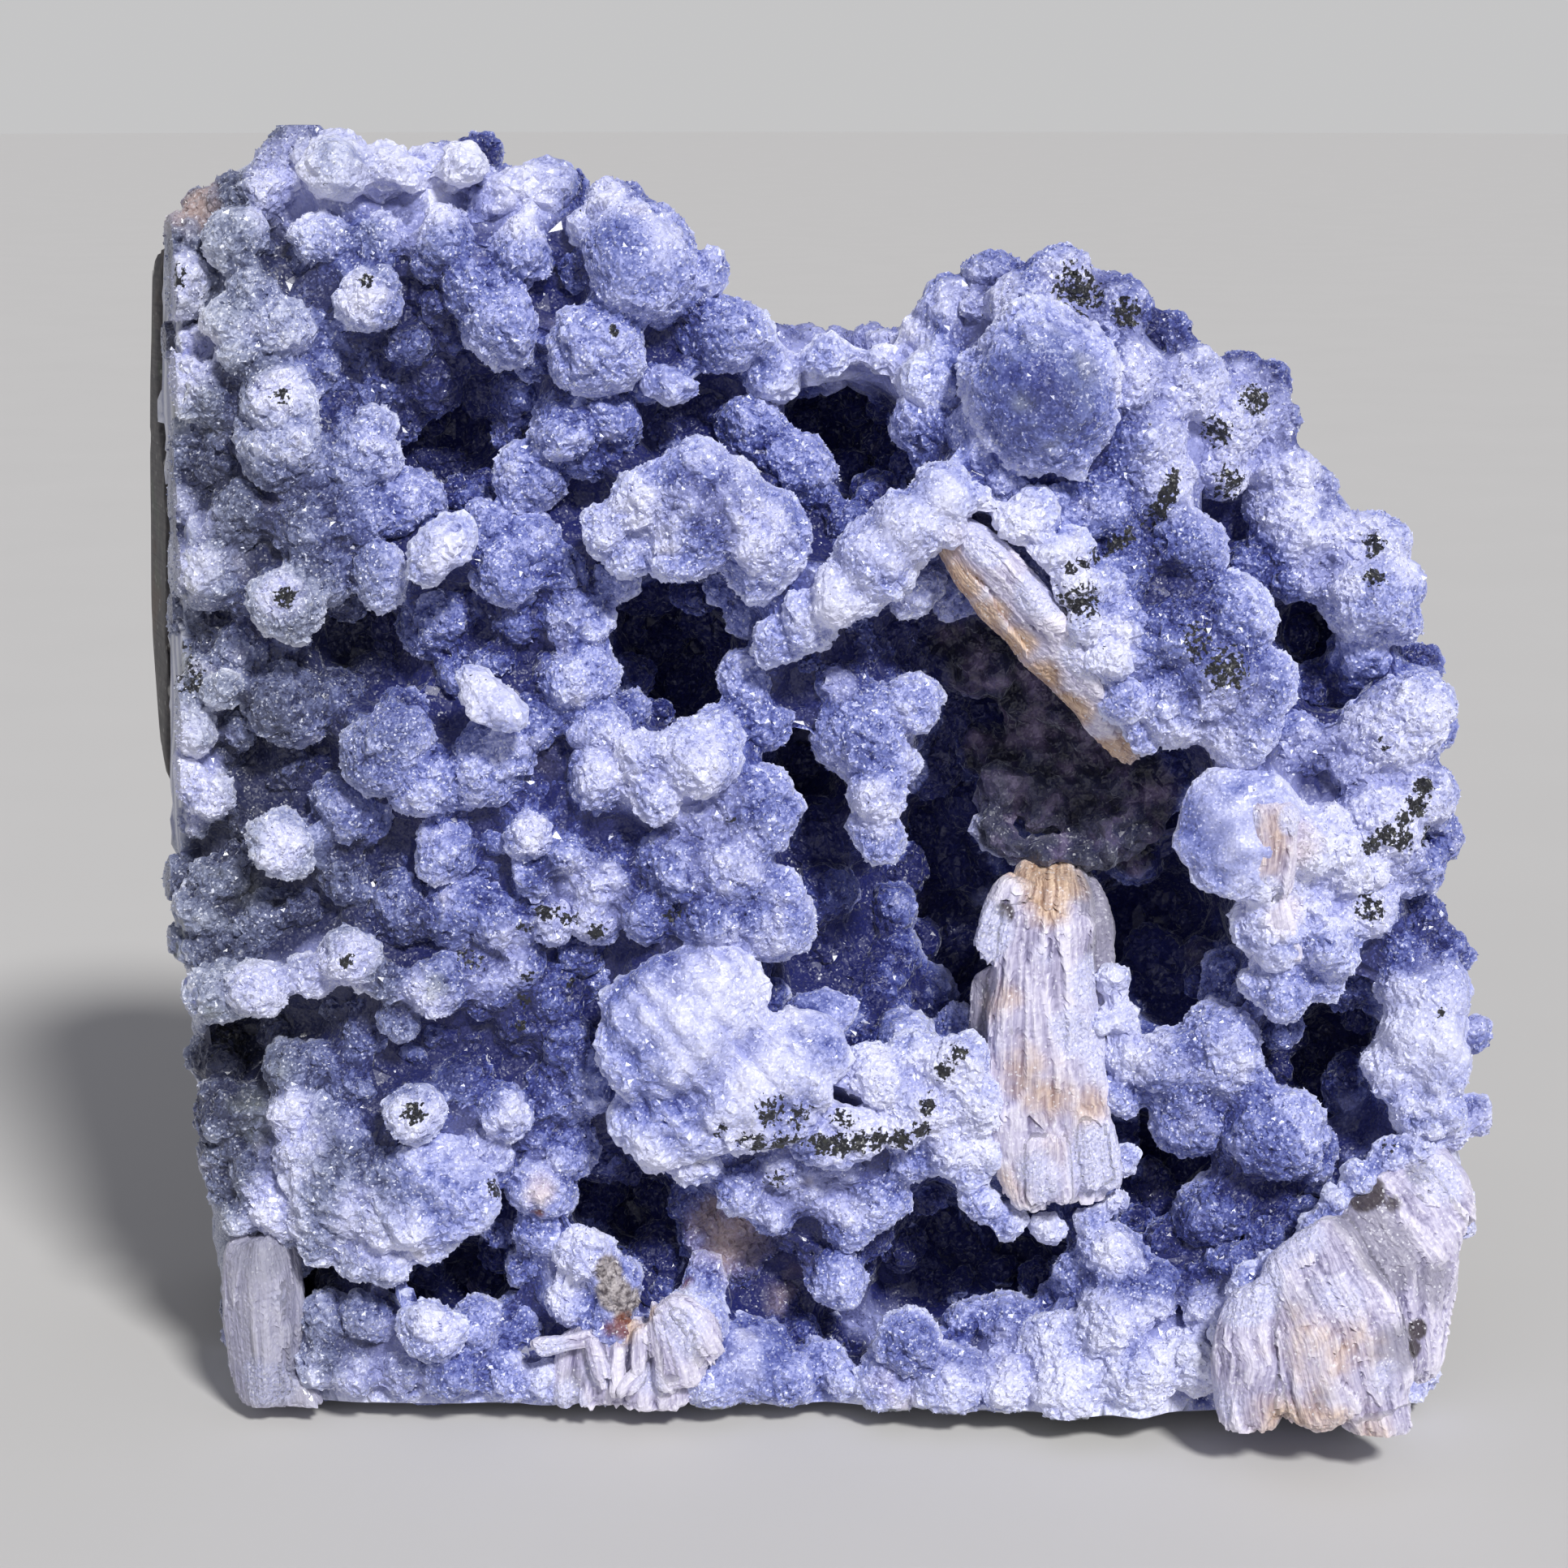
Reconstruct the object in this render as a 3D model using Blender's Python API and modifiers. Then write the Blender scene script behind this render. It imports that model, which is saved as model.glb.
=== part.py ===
"""Chalcedony with stilbite: a block of lumpy, sugar-coated blue chalcedony on basalt, with cream stilbite blades.

The front is laid out as a viewer sees it. A place on it is read in millimetres across and down from the top left
corner of a square frame that the viewer holds against the block, with a depth behind that frame. The block rests
on a flat sawn base. Its left flank is sawn too, and its top, right side and back are natural.
"""

import math

import bmesh
import bpy
import numpy as np
from mathutils import Matrix, Vector, noise

MM = 0.001
NAME = "chalcedony_with_stilbite"

# The viewer: the reading frame is square to the line of sight, which drops towards the block.
EYE_REACH = 380.0
EYE_PITCH = math.radians(13.0)
FRAME_MIDDLE = 96.6
# Where the middle of the reading frame stands, so that the origin is under the middle of the block.
FRAME_SIDE = -3.25
FRAME_FORWARD = -29.2
FRAME_HEIGHT = 88.7

# Depths behind the reading frame.
BACK_DEPTH = 68.0
BACK_ROUGHNESS = 6.0
RIM_DEPTH = 14.0
GAP = 0.3
# Where the readings of the outline are drawn in to.
HEART = (100.0, 110.0)

# Lumps that wrap over the top and right edge behind the rim, which start right of one reading and end above another.
EDGE_LUMP_DEPTH = 25.0
EDGE_LUMP_STAGGER = 3.0
EDGE_LUMP_RADIUS = 4.6
EDGE_LUMPS_FROM = 30.0
EDGE_LUMPS_TO = 160.0
EDGE_LUMP_SUNK = 0.6

# The sides behind the rim: (depth, share of the outline kept, share kept on the left, how deep it is chipped).
SIDE_RINGS = [
    (-30.0, 1.0, 1.0, 0.0), (RIM_DEPTH, 1.0, 1.0, 0.0), (25.0, 0.965, 1.0, 5.0), (36.0, 0.945, 1.0, 8.0),
    (48.0, 0.92, 0.98, 9.0), (60.0, 0.86, 0.95, 8.0), (80.0, 0.75, 0.84, 5.0),
]

# The crust is at least this thick, measured from the deepest ground within reach of a point of the seam.
CRUST_THICKNESS = 7.0
SEAM_REACH = 9.0
SEAM_WAVE = 4.0
SEAM_STEPS = 16

# The ground between the lumps lies this share of a lump's radius, and this much more, behind its face.
GROUND_SHARE = 0.8
GROUND_DROP = 1.2

# Flat cuts.
FOOT_DEPTH = 20.0
UNDERCUT_SLOPE = math.radians(12.0)
FLANK_POINT = (18.0, 60.0, 40.0)
FLANK_FLARE = math.radians(21.5)
FLANK_LEAN = math.radians(3.0)

# Spans of the readings that the ground and the seam cover.
RELIEF_SPAN = (6.0, 190.0)
SEAM_SPAN = (4.0, 192.0)
CUTTER_SIZE = 400.0
GRID_STEP = 2.2
LUMP_VOXEL = 1.9
# Triangles that the whole block keeps, crust and matrix being cut from two copies of it.
CRUST_FACES = 6900
MATRIX_FACES = 2600

# The edge of the block, clockwise from the left peak: (across, down).
OUTLINE = [
    (37, 16.5), (43, 17.5), (50, 18.3), (57, 18), (63, 20), (68, 23), (74, 24), (79, 27), (84, 32), (88, 35.5),
    (92, 38), (95.5, 40.5), (101, 40), (107, 40), (113, 40.5), (117, 37.5), (121, 35.5), (125, 34.5), (128, 31.5),
    (132, 30.5), (136, 34), (140, 38), (145, 41), (149, 44.5), (152, 47.5), (154.5, 46), (158, 51), (161, 56),
    (164, 61.5), (168, 63.5), (171, 67), (174, 72), (175, 78), (170, 82), (176, 86), (178.5, 91), (179, 97),
    (179, 103), (175.5, 109), (175.5, 114), (179.5, 121), (181, 130), (181, 139), (179.5, 147), (177.5, 156),
    (175.5, 164), (173, 172), (172, 177.7), (160, 177.6), (147, 177.2), (135, 176.8), (125, 176.2), (120, 175),
    (112, 174.2), (105, 173.4), (98, 173.9), (90, 174.7), (82, 174.2), (70, 174.4), (50, 174.5), (33, 174.1),
    (30, 172.5), (28.5, 165), (27, 152), (25.5, 141), (24.5, 129), (23.5, 119), (22, 106), (21, 97), (19.5, 91),
    (19, 80), (18, 70), (18, 60), (18, 51), (17.5, 46), (18.5, 42), (18, 36), (19, 31.5), (22, 28), (26, 25),
    (29, 22), (33, 18.5),
]

# Lumps on the front, region by region: (across, down, depth of the face, radius).
LUMPS = {
    "left peak": [
        (37, 20.5, 20, 5), (43, 21.5, 21, 3.5), (49, 21.5, 21, 3.5), (55, 21.5, 21, 4), (61, 23, 20, 3.5),
        (68, 26, 19, 3.5), (28.5, 25, 21, 3.6), (33, 24, 19, 3.5), (22.5, 30, 19, 3.5), (22, 35, 16, 4.3),
        (29, 29.5, 15, 3.5), (31.6, 36, 13, 4), (28.5, 39.5, 12, 3.2), (35, 40, 11, 4), (30, 43, 12, 3.5),
        (45, 36.5, 9, 4.3), (20.5, 46, 15, 2.8), (24.5, 48, 13, 4), (34.5, 49, 9, 4.6), (35, 55.5, 9, 6.5),
        (46, 52, 13, 3), (44, 57, 12, 6), (40, 30, 15, 4), (47, 29.5, 15, 4), (55, 30, 14, 4.6),
        (64, 31, 14, 4.6), (61.5, 40, 11, 5.2), (58, 35, 13, 4), (50, 42, 16, 4), (53, 47, 20, 4),
        (73.5, 43, 8, 6.2), (72, 52, 11, 7.5), (65, 59, 12, 4.4), (79, 32.5, 9, 7.5), (76, 27, 14, 5),
        (72, 33, 16, 3.6), (89.3, 41, 13, 5.6), (85, 52, 22, 4.2), (92.5, 53, 16, 4.6), (98, 57.5, 15, 4.7),
        (72.5, 60.5, 22, 2.6), (56, 57.5, 26, 3),
    ],
    "saddle": [
        (95.5, 43.5, 24, 3.5), (98.5, 46, 24, 3.5), (103, 43.5, 28, 3.4), (108, 43.5, 26, 3), (112, 43, 24, 3.2),
        (116.5, 40.5, 20, 3.2), (121, 38, 16, 3.4), (111, 47.5, 26, 3),
    ],
    "right peak": [
        (113.5, 52, 14, 4.2), (121.5, 46, 9, 4.5), (121, 54, 8, 5), (123, 59, 8, 4.6), (131, 34, 14, 4.3),
        (126, 38, 12, 4), (137, 39, 14, 5), (139, 46, 10, 5), (140, 54, 10, 6), (146, 47, 12, 5),
        (152, 51, 14, 4.5), (156.5, 52, 16, 4.5), (150, 57, 14, 4.5), (158, 58, 16, 4), (161.5, 61, 18, 3.6),
        (143, 60, 10, 5), (136, 62, 9, 5), (130, 64, 8, 5), (159, 65, 15, 6), (154, 70, 16, 4), (160, 71, 15, 3.5),
        (165.5, 66, 15, 3.8), (169.5, 67, 14, 4.3), (169, 74, 11, 6), (172.5, 76.5, 13, 3.3), (146, 68, 8, 5.5),
        (138, 70, 8, 5), (152, 76, 6, 5.5), (145, 77, 6, 6), (139, 79, 6, 4.5), (150, 84, 4, 5.5),
        (156, 84, 6, 4.5), (145, 87, 5, 5), (153, 90, 5, 5), (160, 92, 10, 4.5), (171.5, 90, 7, 7.6),
        (176, 90, 10, 3.2), (167, 94, 10, 4), (174.5, 98, 9, 5), (170, 101, 6, 6), (173.5, 107, 9, 4.2),
    ],
    "brain lump and finger": [
        (85.5, 60, 3, 6.5), (80, 62, 4, 5), (90, 62, 4, 5.5), (85, 66, 3, 6), (75.5, 65, 5, 4), (94, 66, 5, 6),
        (93, 71, 7, 3.5), (100, 61, 16, 3.5), (78, 68, 6, 3), (116, 61, 4, 4.6), (112, 65, 3, 4.7),
        (108, 69, 3, 4.8), (104, 73, 4, 4.8), (100, 76.5, 6, 4.2), (96, 79, 8, 3.7), (92, 84, 12, 4),
        (88, 91, 8, 4.5), (94, 89, 12, 4),
    ],
    "left field": [
        (21.5, 69, 12, 4), (26.5, 70, 10, 5.5), (22, 62, 14, 3.5), (35.5, 74.2, 5, 4.5), (30, 64, 11, 5),
        (38, 64, 10, 5.5), (44, 63, 11, 5), (50, 62, 14, 4.5), (47, 71.5, 8, 4), (40, 70, 10, 4),
        (54, 76.5, 13, 5.6), (63, 70, 9, 5), (60, 65, 12, 4), (66, 66, 12, 3.5), (27.5, 85, 8, 3),
        (35.5, 87, 9, 5), (41, 86, 12, 4.5), (30, 80, 13, 4), (24, 90, 9, 3.2), (23, 95, 10, 3), (26, 98, 9, 3.5),
        (48, 92, 5, 6.6), (43, 100, 9, 5), (60, 94, 6, 5.8), (53, 96, 7, 4.5), (35, 104.2, 5, 4.3),
        (55, 104.5, 7, 4.5), (42.5, 108, 9, 4), (65.5, 103, 6, 4), (50, 88, 9, 4), (36, 95, 14, 5),
        (47, 83, 18, 4), (64, 76, 12, 4), (66, 88, 10, 4.5), (71, 76, 10, 5), (71.5, 83, 9, 5.5),
        (77, 88, 14, 3.5), (74, 90, 9, 3.6), (84, 85, 34, 2.5), (76, 71, 12, 3), (69, 70, 11, 4),
    ],
    "middle": [
        (73.5, 96, 7, 5), (80.5, 98.5, 4, 3.6), (79, 93, 6, 3.4), (86, 93, 4, 5.5), (93, 100, 6, 6),
        (86, 101, 8, 4), (90, 107, 4, 6), (84, 107, 5, 4.5), (95, 112.5, 5, 5.7), (88, 113, 4, 5),
        (80, 112, 6, 4.5), (82, 106, 7, 3.5), (75, 108, 7, 4.5), (70, 105, 7, 4), (66, 108, 7, 3.5),
        (73, 113, 7, 3.6),
    ],
    "hanging pillar": [
        (106, 79, 18, 4.6), (103.5, 84, 14, 3.8), (106, 90, 10, 6.5), (112, 87, 11, 4.5), (110, 94, 11, 4.5),
        (108.5, 98, 9, 4), (108, 103, 9, 4.2),
    ],
    "hollow lining": [
        (100, 103, 24, 5), (102, 110.5, 20, 4.5), (102, 116, 22, 4), (110, 112, 26, 3.4), (108, 122, 20, 4.5),
        (110, 118, 24, 3.5), (111, 128, 14, 4.2), (106, 128, 16, 3.4), (114, 123, 24, 4), (142, 117, 28, 3.7),
        (139, 121.5, 26, 3), (144, 122, 26, 3), (121, 98, 34, 5), (126, 92, 30, 6), (133, 92, 28, 5),
        (130, 100, 32, 6), (137, 100, 26, 5), (140, 105, 24, 4.5), (118, 107, 38, 4), (134, 106, 30, 4),
    ],
    "right wall": [
        (159, 104, 3, 6), (163, 104, 4, 5), (160, 112, 5, 5), (157, 117, 5, 4), (163, 116, 4, 5), (168, 112, 6, 5),
        (166, 106, 5, 5), (159, 122.5, 4, 3.6), (155, 121, 6, 2.6), (163, 121, 7, 3), (172.5, 117, 10, 4),
        (172, 121, 8, 4), (177, 123, 6, 4.2), (174, 127, 5, 5), (177, 131, 4, 5), (176, 137, 3, 5),
        (171, 132, 6, 4), (144, 131, 6, 6), (150, 129, 6, 6), (147, 137, 8, 5.5), (140, 131, 8, 4),
        (153, 134, 8, 4), (138.5, 135.5, 9, 3), (157.5, 139.5, 4, 6), (154, 143, 8, 5), (150, 149, 7, 5.8),
        (142, 147, 18, 3.8), (156, 148, 9, 4), (161, 142, 8, 4), (134, 150, 12, 4.2), (137, 154.5, 4, 4.5),
        (133, 157, 8, 4), (141, 159, 2, 5), (137, 163, 0, 5.5), (144, 153, 10, 4), (147, 158, 6, 4.5),
        (152, 156, 4, 4), (130, 166, 2, 5), (124, 163, 8, 5), (119, 163, 10, 4), (112, 165, 2, 4.8),
        (124, 170, 2, 5), (117, 170, 2, 5), (132, 171, -1, 5), (140, 170, -3, 5.5), (147, 168, -2, 4.5),
        (109, 170, 4, 4), (158, 155, 4, 5), (165, 152, 3, 5), (172, 146, 5, 4.5), (168, 162, 0, 7),
        (158, 166, 0, 7), (168, 170, -2, 6),
    ],
    "lower middle": [
        (86, 143.5, 3, 3.5), (81, 141.5, 4, 3.2), (91, 146, 6, 4), (95, 149, 7, 4), (99, 147, 7, 4),
        (104, 149, 8, 4.5), (103, 143, 7, 4), (108, 147, 8, 4.5), (112, 143, 7, 4), (97, 142, 6, 4),
        (117, 141, 6, 3.5), (108, 133, 4, 4.5), (111, 137, 4, 5), (115, 136, 4, 4.5), (118, 131, 4, 4),
        (120, 136, 4, 4), (113, 130.5, 7, 4), (103, 157.5, 8, 4.6), (101, 153, 12, 3.6), (106, 152, 14, 4),
        (98, 151, 12, 4), (90, 155, 14, 5), (95, 160, 16, 5), (87, 152, 14, 4), (92, 167, 6, 6),
        (97, 170, 5, 4), (88, 170, 5, 4), (101, 168, 8, 3.5), (104, 170, 6, 3),
    ],
    "lower left": [
        (27, 122, 6, 4), (32, 121.5, 4, 4), (38, 120, 5, 4), (43, 118, 3, 4.5), (25, 112, 11, 4),
        (27, 108, 12, 3.5), (33, 113, 11, 4.5), (38, 112, 12, 4), (46, 115, 10, 4), (50, 112, 9, 5),
        (57, 112, 8, 5), (62, 113, 7, 4.5), (68, 113, 7, 3.5), (54, 121.5, 5, 4.4), (48, 121, 6, 3),
        (49, 125.5, 7, 3), (60, 121, 8, 4.5), (64, 119, 8, 4), (64, 126, 9, 4), (68, 122, 9, 4.5), (70, 128, 9, 4),
        (58, 128, 11, 4), (36, 131.5, 9, 4), (40, 131, 9, 4), (45, 128, 9, 4), (44, 134, 8, 4.5),
        (36, 137, 7, 4), (38, 142, 6, 4.5), (32, 145, 8, 4), (51, 137, 1.5, 4.6), (62, 137, 5, 4),
        (57, 133, 7, 4), (43, 139, 6, 3.5), (46, 143, 5, 4.5), (53, 144, 4, 5), (59, 142, 6, 4.5),
        (40, 149, 5, 5), (47, 150, 3, 5), (54, 150, 3, 4.6), (35, 150, 8, 4), (39, 153.5, 5, 3),
        (44, 155, 4, 3), (48, 156, 3.5, 3.2), (53, 153, 4, 3), (66, 139, 9, 4), (69, 134, 8, 5),
        (73, 133, 8, 4.5), (70, 141, 9, 4.5), (67, 146, 7, 4.2), (66, 152, 8, 3.5), (65, 156, 10, 3),
        (40, 163, 8, 4), (46, 162, 7, 4), (53, 163.5, 2, 4.2), (59, 163, 6, 4), (64, 163, 9, 4),
        (40, 168, 6, 4), (44, 169, 5, 4), (50, 169, 5, 4), (56, 169, 4, 4), (62, 169, 5, 4), (68, 170, 5, 3.5),
        (74, 170, 6, 3.5),
    ],
    "broken nodule": [
        (72, 154.5, 4, 4.5), (70, 160, 5, 4.2), (75, 162, 5, 4.5), (82, 164, 6, 4), (86, 162, 5, 4.2),
        (87, 157, 9, 3.5), (76, 158, 5, 4),
    ],
}

# Broad smooth growths: (across, down, depth of the face, half width, half height, half thickness, turn in degrees).
PLATES = [
    (128.5, 48, 3, 9.5, 11, 8, 0),
    (83, 47.5, 12, 4.2, 2.3, 2, -10),
    (60.3, 85.7, 2, 5.6, 2.8, 2.6, -45),
    (54.3, 68.2, 4, 5, 3.4, 3, 45),
    (84, 126, 0, 12, 9, 6, 38),
    (94, 133.5, 0, 12, 7.5, 6, 40),
    (84, 136.5, 1, 8.5, 6.5, 5, 10),
    (101, 124.3, 8, 5.8, 3.4, 3, 10),
    (152.5, 102.5, 3, 7.8, 9.2, 5, 0),
    (42, 144, 4, 7.5, 10, 5, 0),
    (53, 147, 2, 9, 8, 5, 0),
    (177, 129, 4, 3.8, 13, 6, -6),
]

# Pits between the lumps: (across, down, depth of the floor, radius).
HOLLOWS = [
    (56, 54, 34, 5), (53, 51, 28, 4), (67, 37.5, 26, 2.2), (23, 42, 24, 2), (104, 53, 42, 5.5), (101, 50, 39, 4),
    (107, 56.5, 40, 4), (76, 58, 28, 3.5), (45.5, 79, 32, 3.8), (84, 80, 40, 6.5), (80, 75.5, 36, 4),
    (87, 84, 38, 5), (99, 69, 22, 2), (113, 101, 46, 9), (122, 96, 44, 8), (100.5, 90, 42, 5), (97.5, 98, 42, 4),
    (131, 98, 42, 8), (104, 107, 42, 5), (116, 111, 46, 6), (143, 112, 42, 6.5), (138, 117, 44, 5),
    (107, 117, 40, 4), (119, 120, 42, 6), (114, 82, 28, 4.5), (117, 86, 32, 4), (124, 84, 32, 5), (133, 89, 34, 5),
    (139, 95, 34, 4), (128, 112, 44, 7), (127, 126, 32, 6), (166, 80.5, 40, 5), (162, 77, 34, 3),
    (152, 65, 26, 3), (164, 127, 36, 6), (160.5, 132, 32, 4), (139.5, 140.5, 34, 3), (146, 142.5, 30, 3),
    (159, 149, 24, 3), (168.5, 147, 20, 2), (118, 151, 34, 4.5), (126, 154, 36, 5), (131, 154.5, 30, 3),
    (110, 159, 30, 4), (116, 160, 28, 4), (105, 163, 24, 3), (99, 156, 26, 2.5), (75, 148, 32, 4),
    (80, 148.5, 32, 3.4), (81, 156.5, 20, 3.6), (38.5, 158, 32, 3.5), (57, 157.5, 36, 4.5), (50, 159, 28, 4),
    (63, 158, 24, 3), (61, 148, 18, 2), (31, 127, 26, 2.8), (38, 126, 20, 2.8), (49, 100, 22, 2),
    (31, 95, 20, 2.5), (52, 85, 20, 3), (62, 130, 16, 2.5),
]

# Stilbite blades, piece by piece: (start, end, width, thickness, turn in degrees), each end being
# (across, down, depth).
BLADES = {
    "stilbite_column": [
        ((127, 107.5, 17), (125, 146.5, 10), 8, 8, 0), ((130, 106, 18), (131, 147, 9), 8, 8, 12),
        ((133, 108, 20), (136, 146, 12), 6.5, 7, -14), ((124.5, 113, 17), (121.8, 130, 14), 5, 5, 20),
        ((124, 131, 12), (123.5, 148.5, 8), 5, 5, -10), ((127, 138, 10), (128, 148, 6.5), 6, 5, 8),
        ((132, 136, 11), (134, 148.5, 8), 7, 5, -6), ((136, 124, 14), (137.6, 144.5, 12), 4.4, 5, 15),
    ],
    "stilbite_ledge": [
        ((119.5, 66.5, 10), (143, 93, 15), 9, 6.5, 52), ((119.5, 64, 6), (131, 79, 6), 11, 5.5, 30),
        ((125.5, 73, 7), (138.5, 88, 9), 11, 5, 38), ((117.5, 66, 8), (124.5, 76, 12), 8, 6, 48),
    ],
    "stilbite_clear_blade": [
        ((31.8, 150.5, 12), (32.6, 172.6, 10), 7.2, 9, 4), ((33.5, 154, 10), (33.2, 170, 8.5), 5, 6, -5),
        ((30.5, 160, 12), (31.8, 172.4, 11), 5, 7, 12),
    ],
    "stilbite_nodule_sheaf": [
        ((79.5, 160.5, 9), (65.5, 166.2, 4), 5, 4, 20), ((79, 160, 9), (73.4, 169.8, 3), 5, 3.4, -20),
        ((79.5, 159.5, 9), (78.6, 168.6, 2), 5, 4, 30), ((80.5, 160, 9), (76.8, 171, 4), 5, 3.6, 10),
        ((81, 159.5, 9), (83.5, 170, 3), 6, 4, -25), ((81.5, 160, 9), (87.6, 167, 4), 5.5, 4, -40),
    ],
    "stilbite_corner_mass": [
        ((158, 150, 9), (151.5, 174, -6), 11, 12, 20), ((160, 150, 8), (158.5, 176, -8), 12, 13, -8),
        ((162, 149, 8), (166, 176, -9), 12, 13, 14), ((163, 148, 8), (172, 172, -7), 12, 12, -10),
        ((164, 146, 9), (175.5, 161, -2), 11, 11, 20), ((165, 144, 9), (177, 150, 2), 9, 9, 5),
        ((158, 158, 0), (153.5, 171, -10), 6, 7, 35), ((164, 156, -1), (162, 172, -13), 6, 7, -30),
        ((168, 156, -1), (170, 170, -12), 6, 7, 40), ((168, 142, 8), (177, 143.5, 3), 5, 5, 20),
    ],
    "stilbite_peach_blade": [
        ((156, 98.5, 3), (155, 108.5, 1.2), 6.5, 4, 8), ((157.5, 106, 3), (158.6, 119, 1.4), 3.6, 3.6, -10),
    ],
}
BLADE_TIP_LENGTH = 2.6
BLADE_TIP_SHARE = 0.45
BLADE_ROOT_SHARE = 0.72
THIN_BLADE = 7.5


def place(across, down, depth):
    """The point in the block's own frame, in millimetres, that the viewer sees at a reading."""
    side, rise = across - FRAME_MIDDLE, FRAME_MIDDLE - down
    cos, sin = math.cos(EYE_PITCH), math.sin(EYE_PITCH)
    ray = Vector((side, EYE_REACH * cos + rise * sin, rise * cos - EYE_REACH * sin))
    travel = (EYE_REACH * cos + depth) / ray.y
    eye = Vector((FRAME_SIDE, FRAME_FORWARD - EYE_REACH * cos, FRAME_HEIGHT + EYE_REACH * sin))
    return eye + ray * travel


def swell(depth):
    """How much larger a size is at a depth than it reads on the frame."""
    return (EYE_REACH + depth) / EYE_REACH


def soundings():
    """Each lump and each hollow as (across, down, depth of the ground there, radius)."""
    rows = [(a, d, face + GROUND_SHARE * r + GROUND_DROP, r) for lumps in LUMPS.values() for a, d, face, r in lumps]
    rows += [(a, d, face + deep, 0.8 * min(w, h)) for a, d, face, w, h, deep, _ in PLATES]
    rows += HOLLOWS
    return np.array(rows, float)


def ground_depths(across, down):
    """The depth of the ground between the lumps, read off the nearest soundings."""
    total = np.zeros_like(across)
    weights = np.zeros_like(across)
    for a, d, depth, r in soundings():
        near = r * r / ((across - a) ** 2 + (down - d) ** 2 + (0.5 * r) ** 2) ** 2
        total += near * depth
        weights += near
    return total / weights


def new_object(name, mesh, collection):
    obj = bpy.data.objects.new(name, mesh)
    collection.objects.link(obj)
    return obj


def mesh_of(bm, name):
    """A mesh in metres from a shape drawn in millimetres, with its faces pointing out."""
    bmesh.ops.recalc_face_normals(bm, faces=bm.faces)
    bmesh.ops.scale(bm, vec=(MM, MM, MM), verts=bm.verts)
    mesh = bpy.data.meshes.new(name)
    bm.to_mesh(mesh)
    bm.free()
    return mesh


def apply_modifiers(obj):
    """Bakes the modifiers of an object into its mesh."""
    graph = bpy.context.evaluated_depsgraph_get()
    mesh = bpy.data.meshes.new_from_object(obj.evaluated_get(graph))
    obj.modifiers.clear()
    obj.data = mesh


def combine(obj, other, operation):
    """Cuts, joins or intersects an object with another."""
    modifier = obj.modifiers.new(other.name, "BOOLEAN")
    modifier.operation = operation
    modifier.object = other
    modifier.solver = "EXACT"
    apply_modifiers(obj)


def relief_block(cutters):
    """The ground of the front as one thick sheet, whose back is the rough back of the block."""
    low, high = RELIEF_SPAN
    count = round((high - low) / GRID_STEP)
    bm = bmesh.new()
    bmesh.ops.create_grid(bm, x_segments=count, y_segments=count, size=(high - low) / 2)
    middle = (low + high) / 2
    readings = np.array([(middle + v.co.x, middle - v.co.y) for v in bm.verts])
    fronts = ground_depths(readings[:, 0], readings[:, 1])
    back = bmesh.ops.extrude_face_region(bm, geom=bm.faces[:])
    backs = [item for item in back["geom"] if isinstance(item, bmesh.types.BMVert)]
    behind = set(backs)
    front_verts = [v for v in bm.verts if v not in behind]
    for v, (a, d), depth in zip(front_verts, readings, fronts):
        v.co = place(a, d, depth)
    for v in backs:
        a, d = middle + v.co.x, middle - v.co.y
        chips = noise.noise(Vector((a, d, 3.0)) / 22.0) + 0.6 * noise.noise(Vector((a, d, 9.0)) / 8.0)
        v.co = place(a, d, BACK_DEPTH + BACK_ROUGHNESS * chips)
    return new_object("relief", mesh_of(bm, "relief"), cutters)


def drawn_in(across, down, share):
    """A reading drawn in towards the heart of the block."""
    return HEART[0] + share * (across - HEART[0]), HEART[1] + share * (down - HEART[1])


def outline_loop(depth, kept, kept_left, chipped):
    """The edge of the block at a depth, drawn in by a share and chipped, save where the left flank is sawn."""
    loop = []
    for a, d in OUTLINE:
        left = min(1.0, max(0.0, (80.0 - a) / 50.0))
        chips = chipped * (1.0 - left) * (noise.noise(Vector((a, d, depth)) / 9.0) - 0.25)
        share = kept + (kept_left - kept) * left + chips / math.dist((a, d), HEART)
        loop.append(place(*drawn_in(a, d, share), depth))
    return loop


def edge_lumps():
    """Lumps of the crust that wrap over the top and the right edge, between the rim and the seam."""
    kept = SIDE_RINGS[2][1]
    rows = []
    for i, (a, d) in enumerate(OUTLINE):
        if d > EDGE_LUMPS_TO or a < EDGE_LUMPS_FROM:
            continue
        wave = noise.noise(Vector((a, d, 2.0)) / 7.0)
        r = EDGE_LUMP_RADIUS * (1.0 + 0.5 * wave)
        depth = EDGE_LUMP_DEPTH + EDGE_LUMP_STAGGER * (1 if i % 2 else -1) + 4.0 * wave
        rows.append((*drawn_in(a, d, kept - EDGE_LUMP_SUNK * r / math.dist((a, d), HEART)), depth, r))
    return rows


def outline_block(cutters):
    """The block that the edge of the front and the tapering sides and back enclose."""
    bm = bmesh.new()
    loop = [bm.verts.new(co) for co in outline_loop(*SIDE_RINGS[0])]
    face = bm.faces.new(loop)
    for ring in SIDE_RINGS[1:]:
        grown = bmesh.ops.extrude_discrete_faces(bm, faces=[face])["faces"][0]
        for v, co in zip(grown.verts, outline_loop(*ring)):
            v.co = co
        face = grown
    return new_object("outline", mesh_of(bm, "outline"), cutters)


def ball_matrix(centre, sizes, turn):
    """Where a ball or a lens goes that faces the viewer, turned in the plane of the frame."""
    facing = Matrix.Rotation(-EYE_PITCH, 4, "X") @ Matrix.Rotation(-math.radians(turn), 4, "Y")
    return Matrix.Translation(centre) @ facing @ Matrix.Diagonal((*sizes, 1.0))


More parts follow.
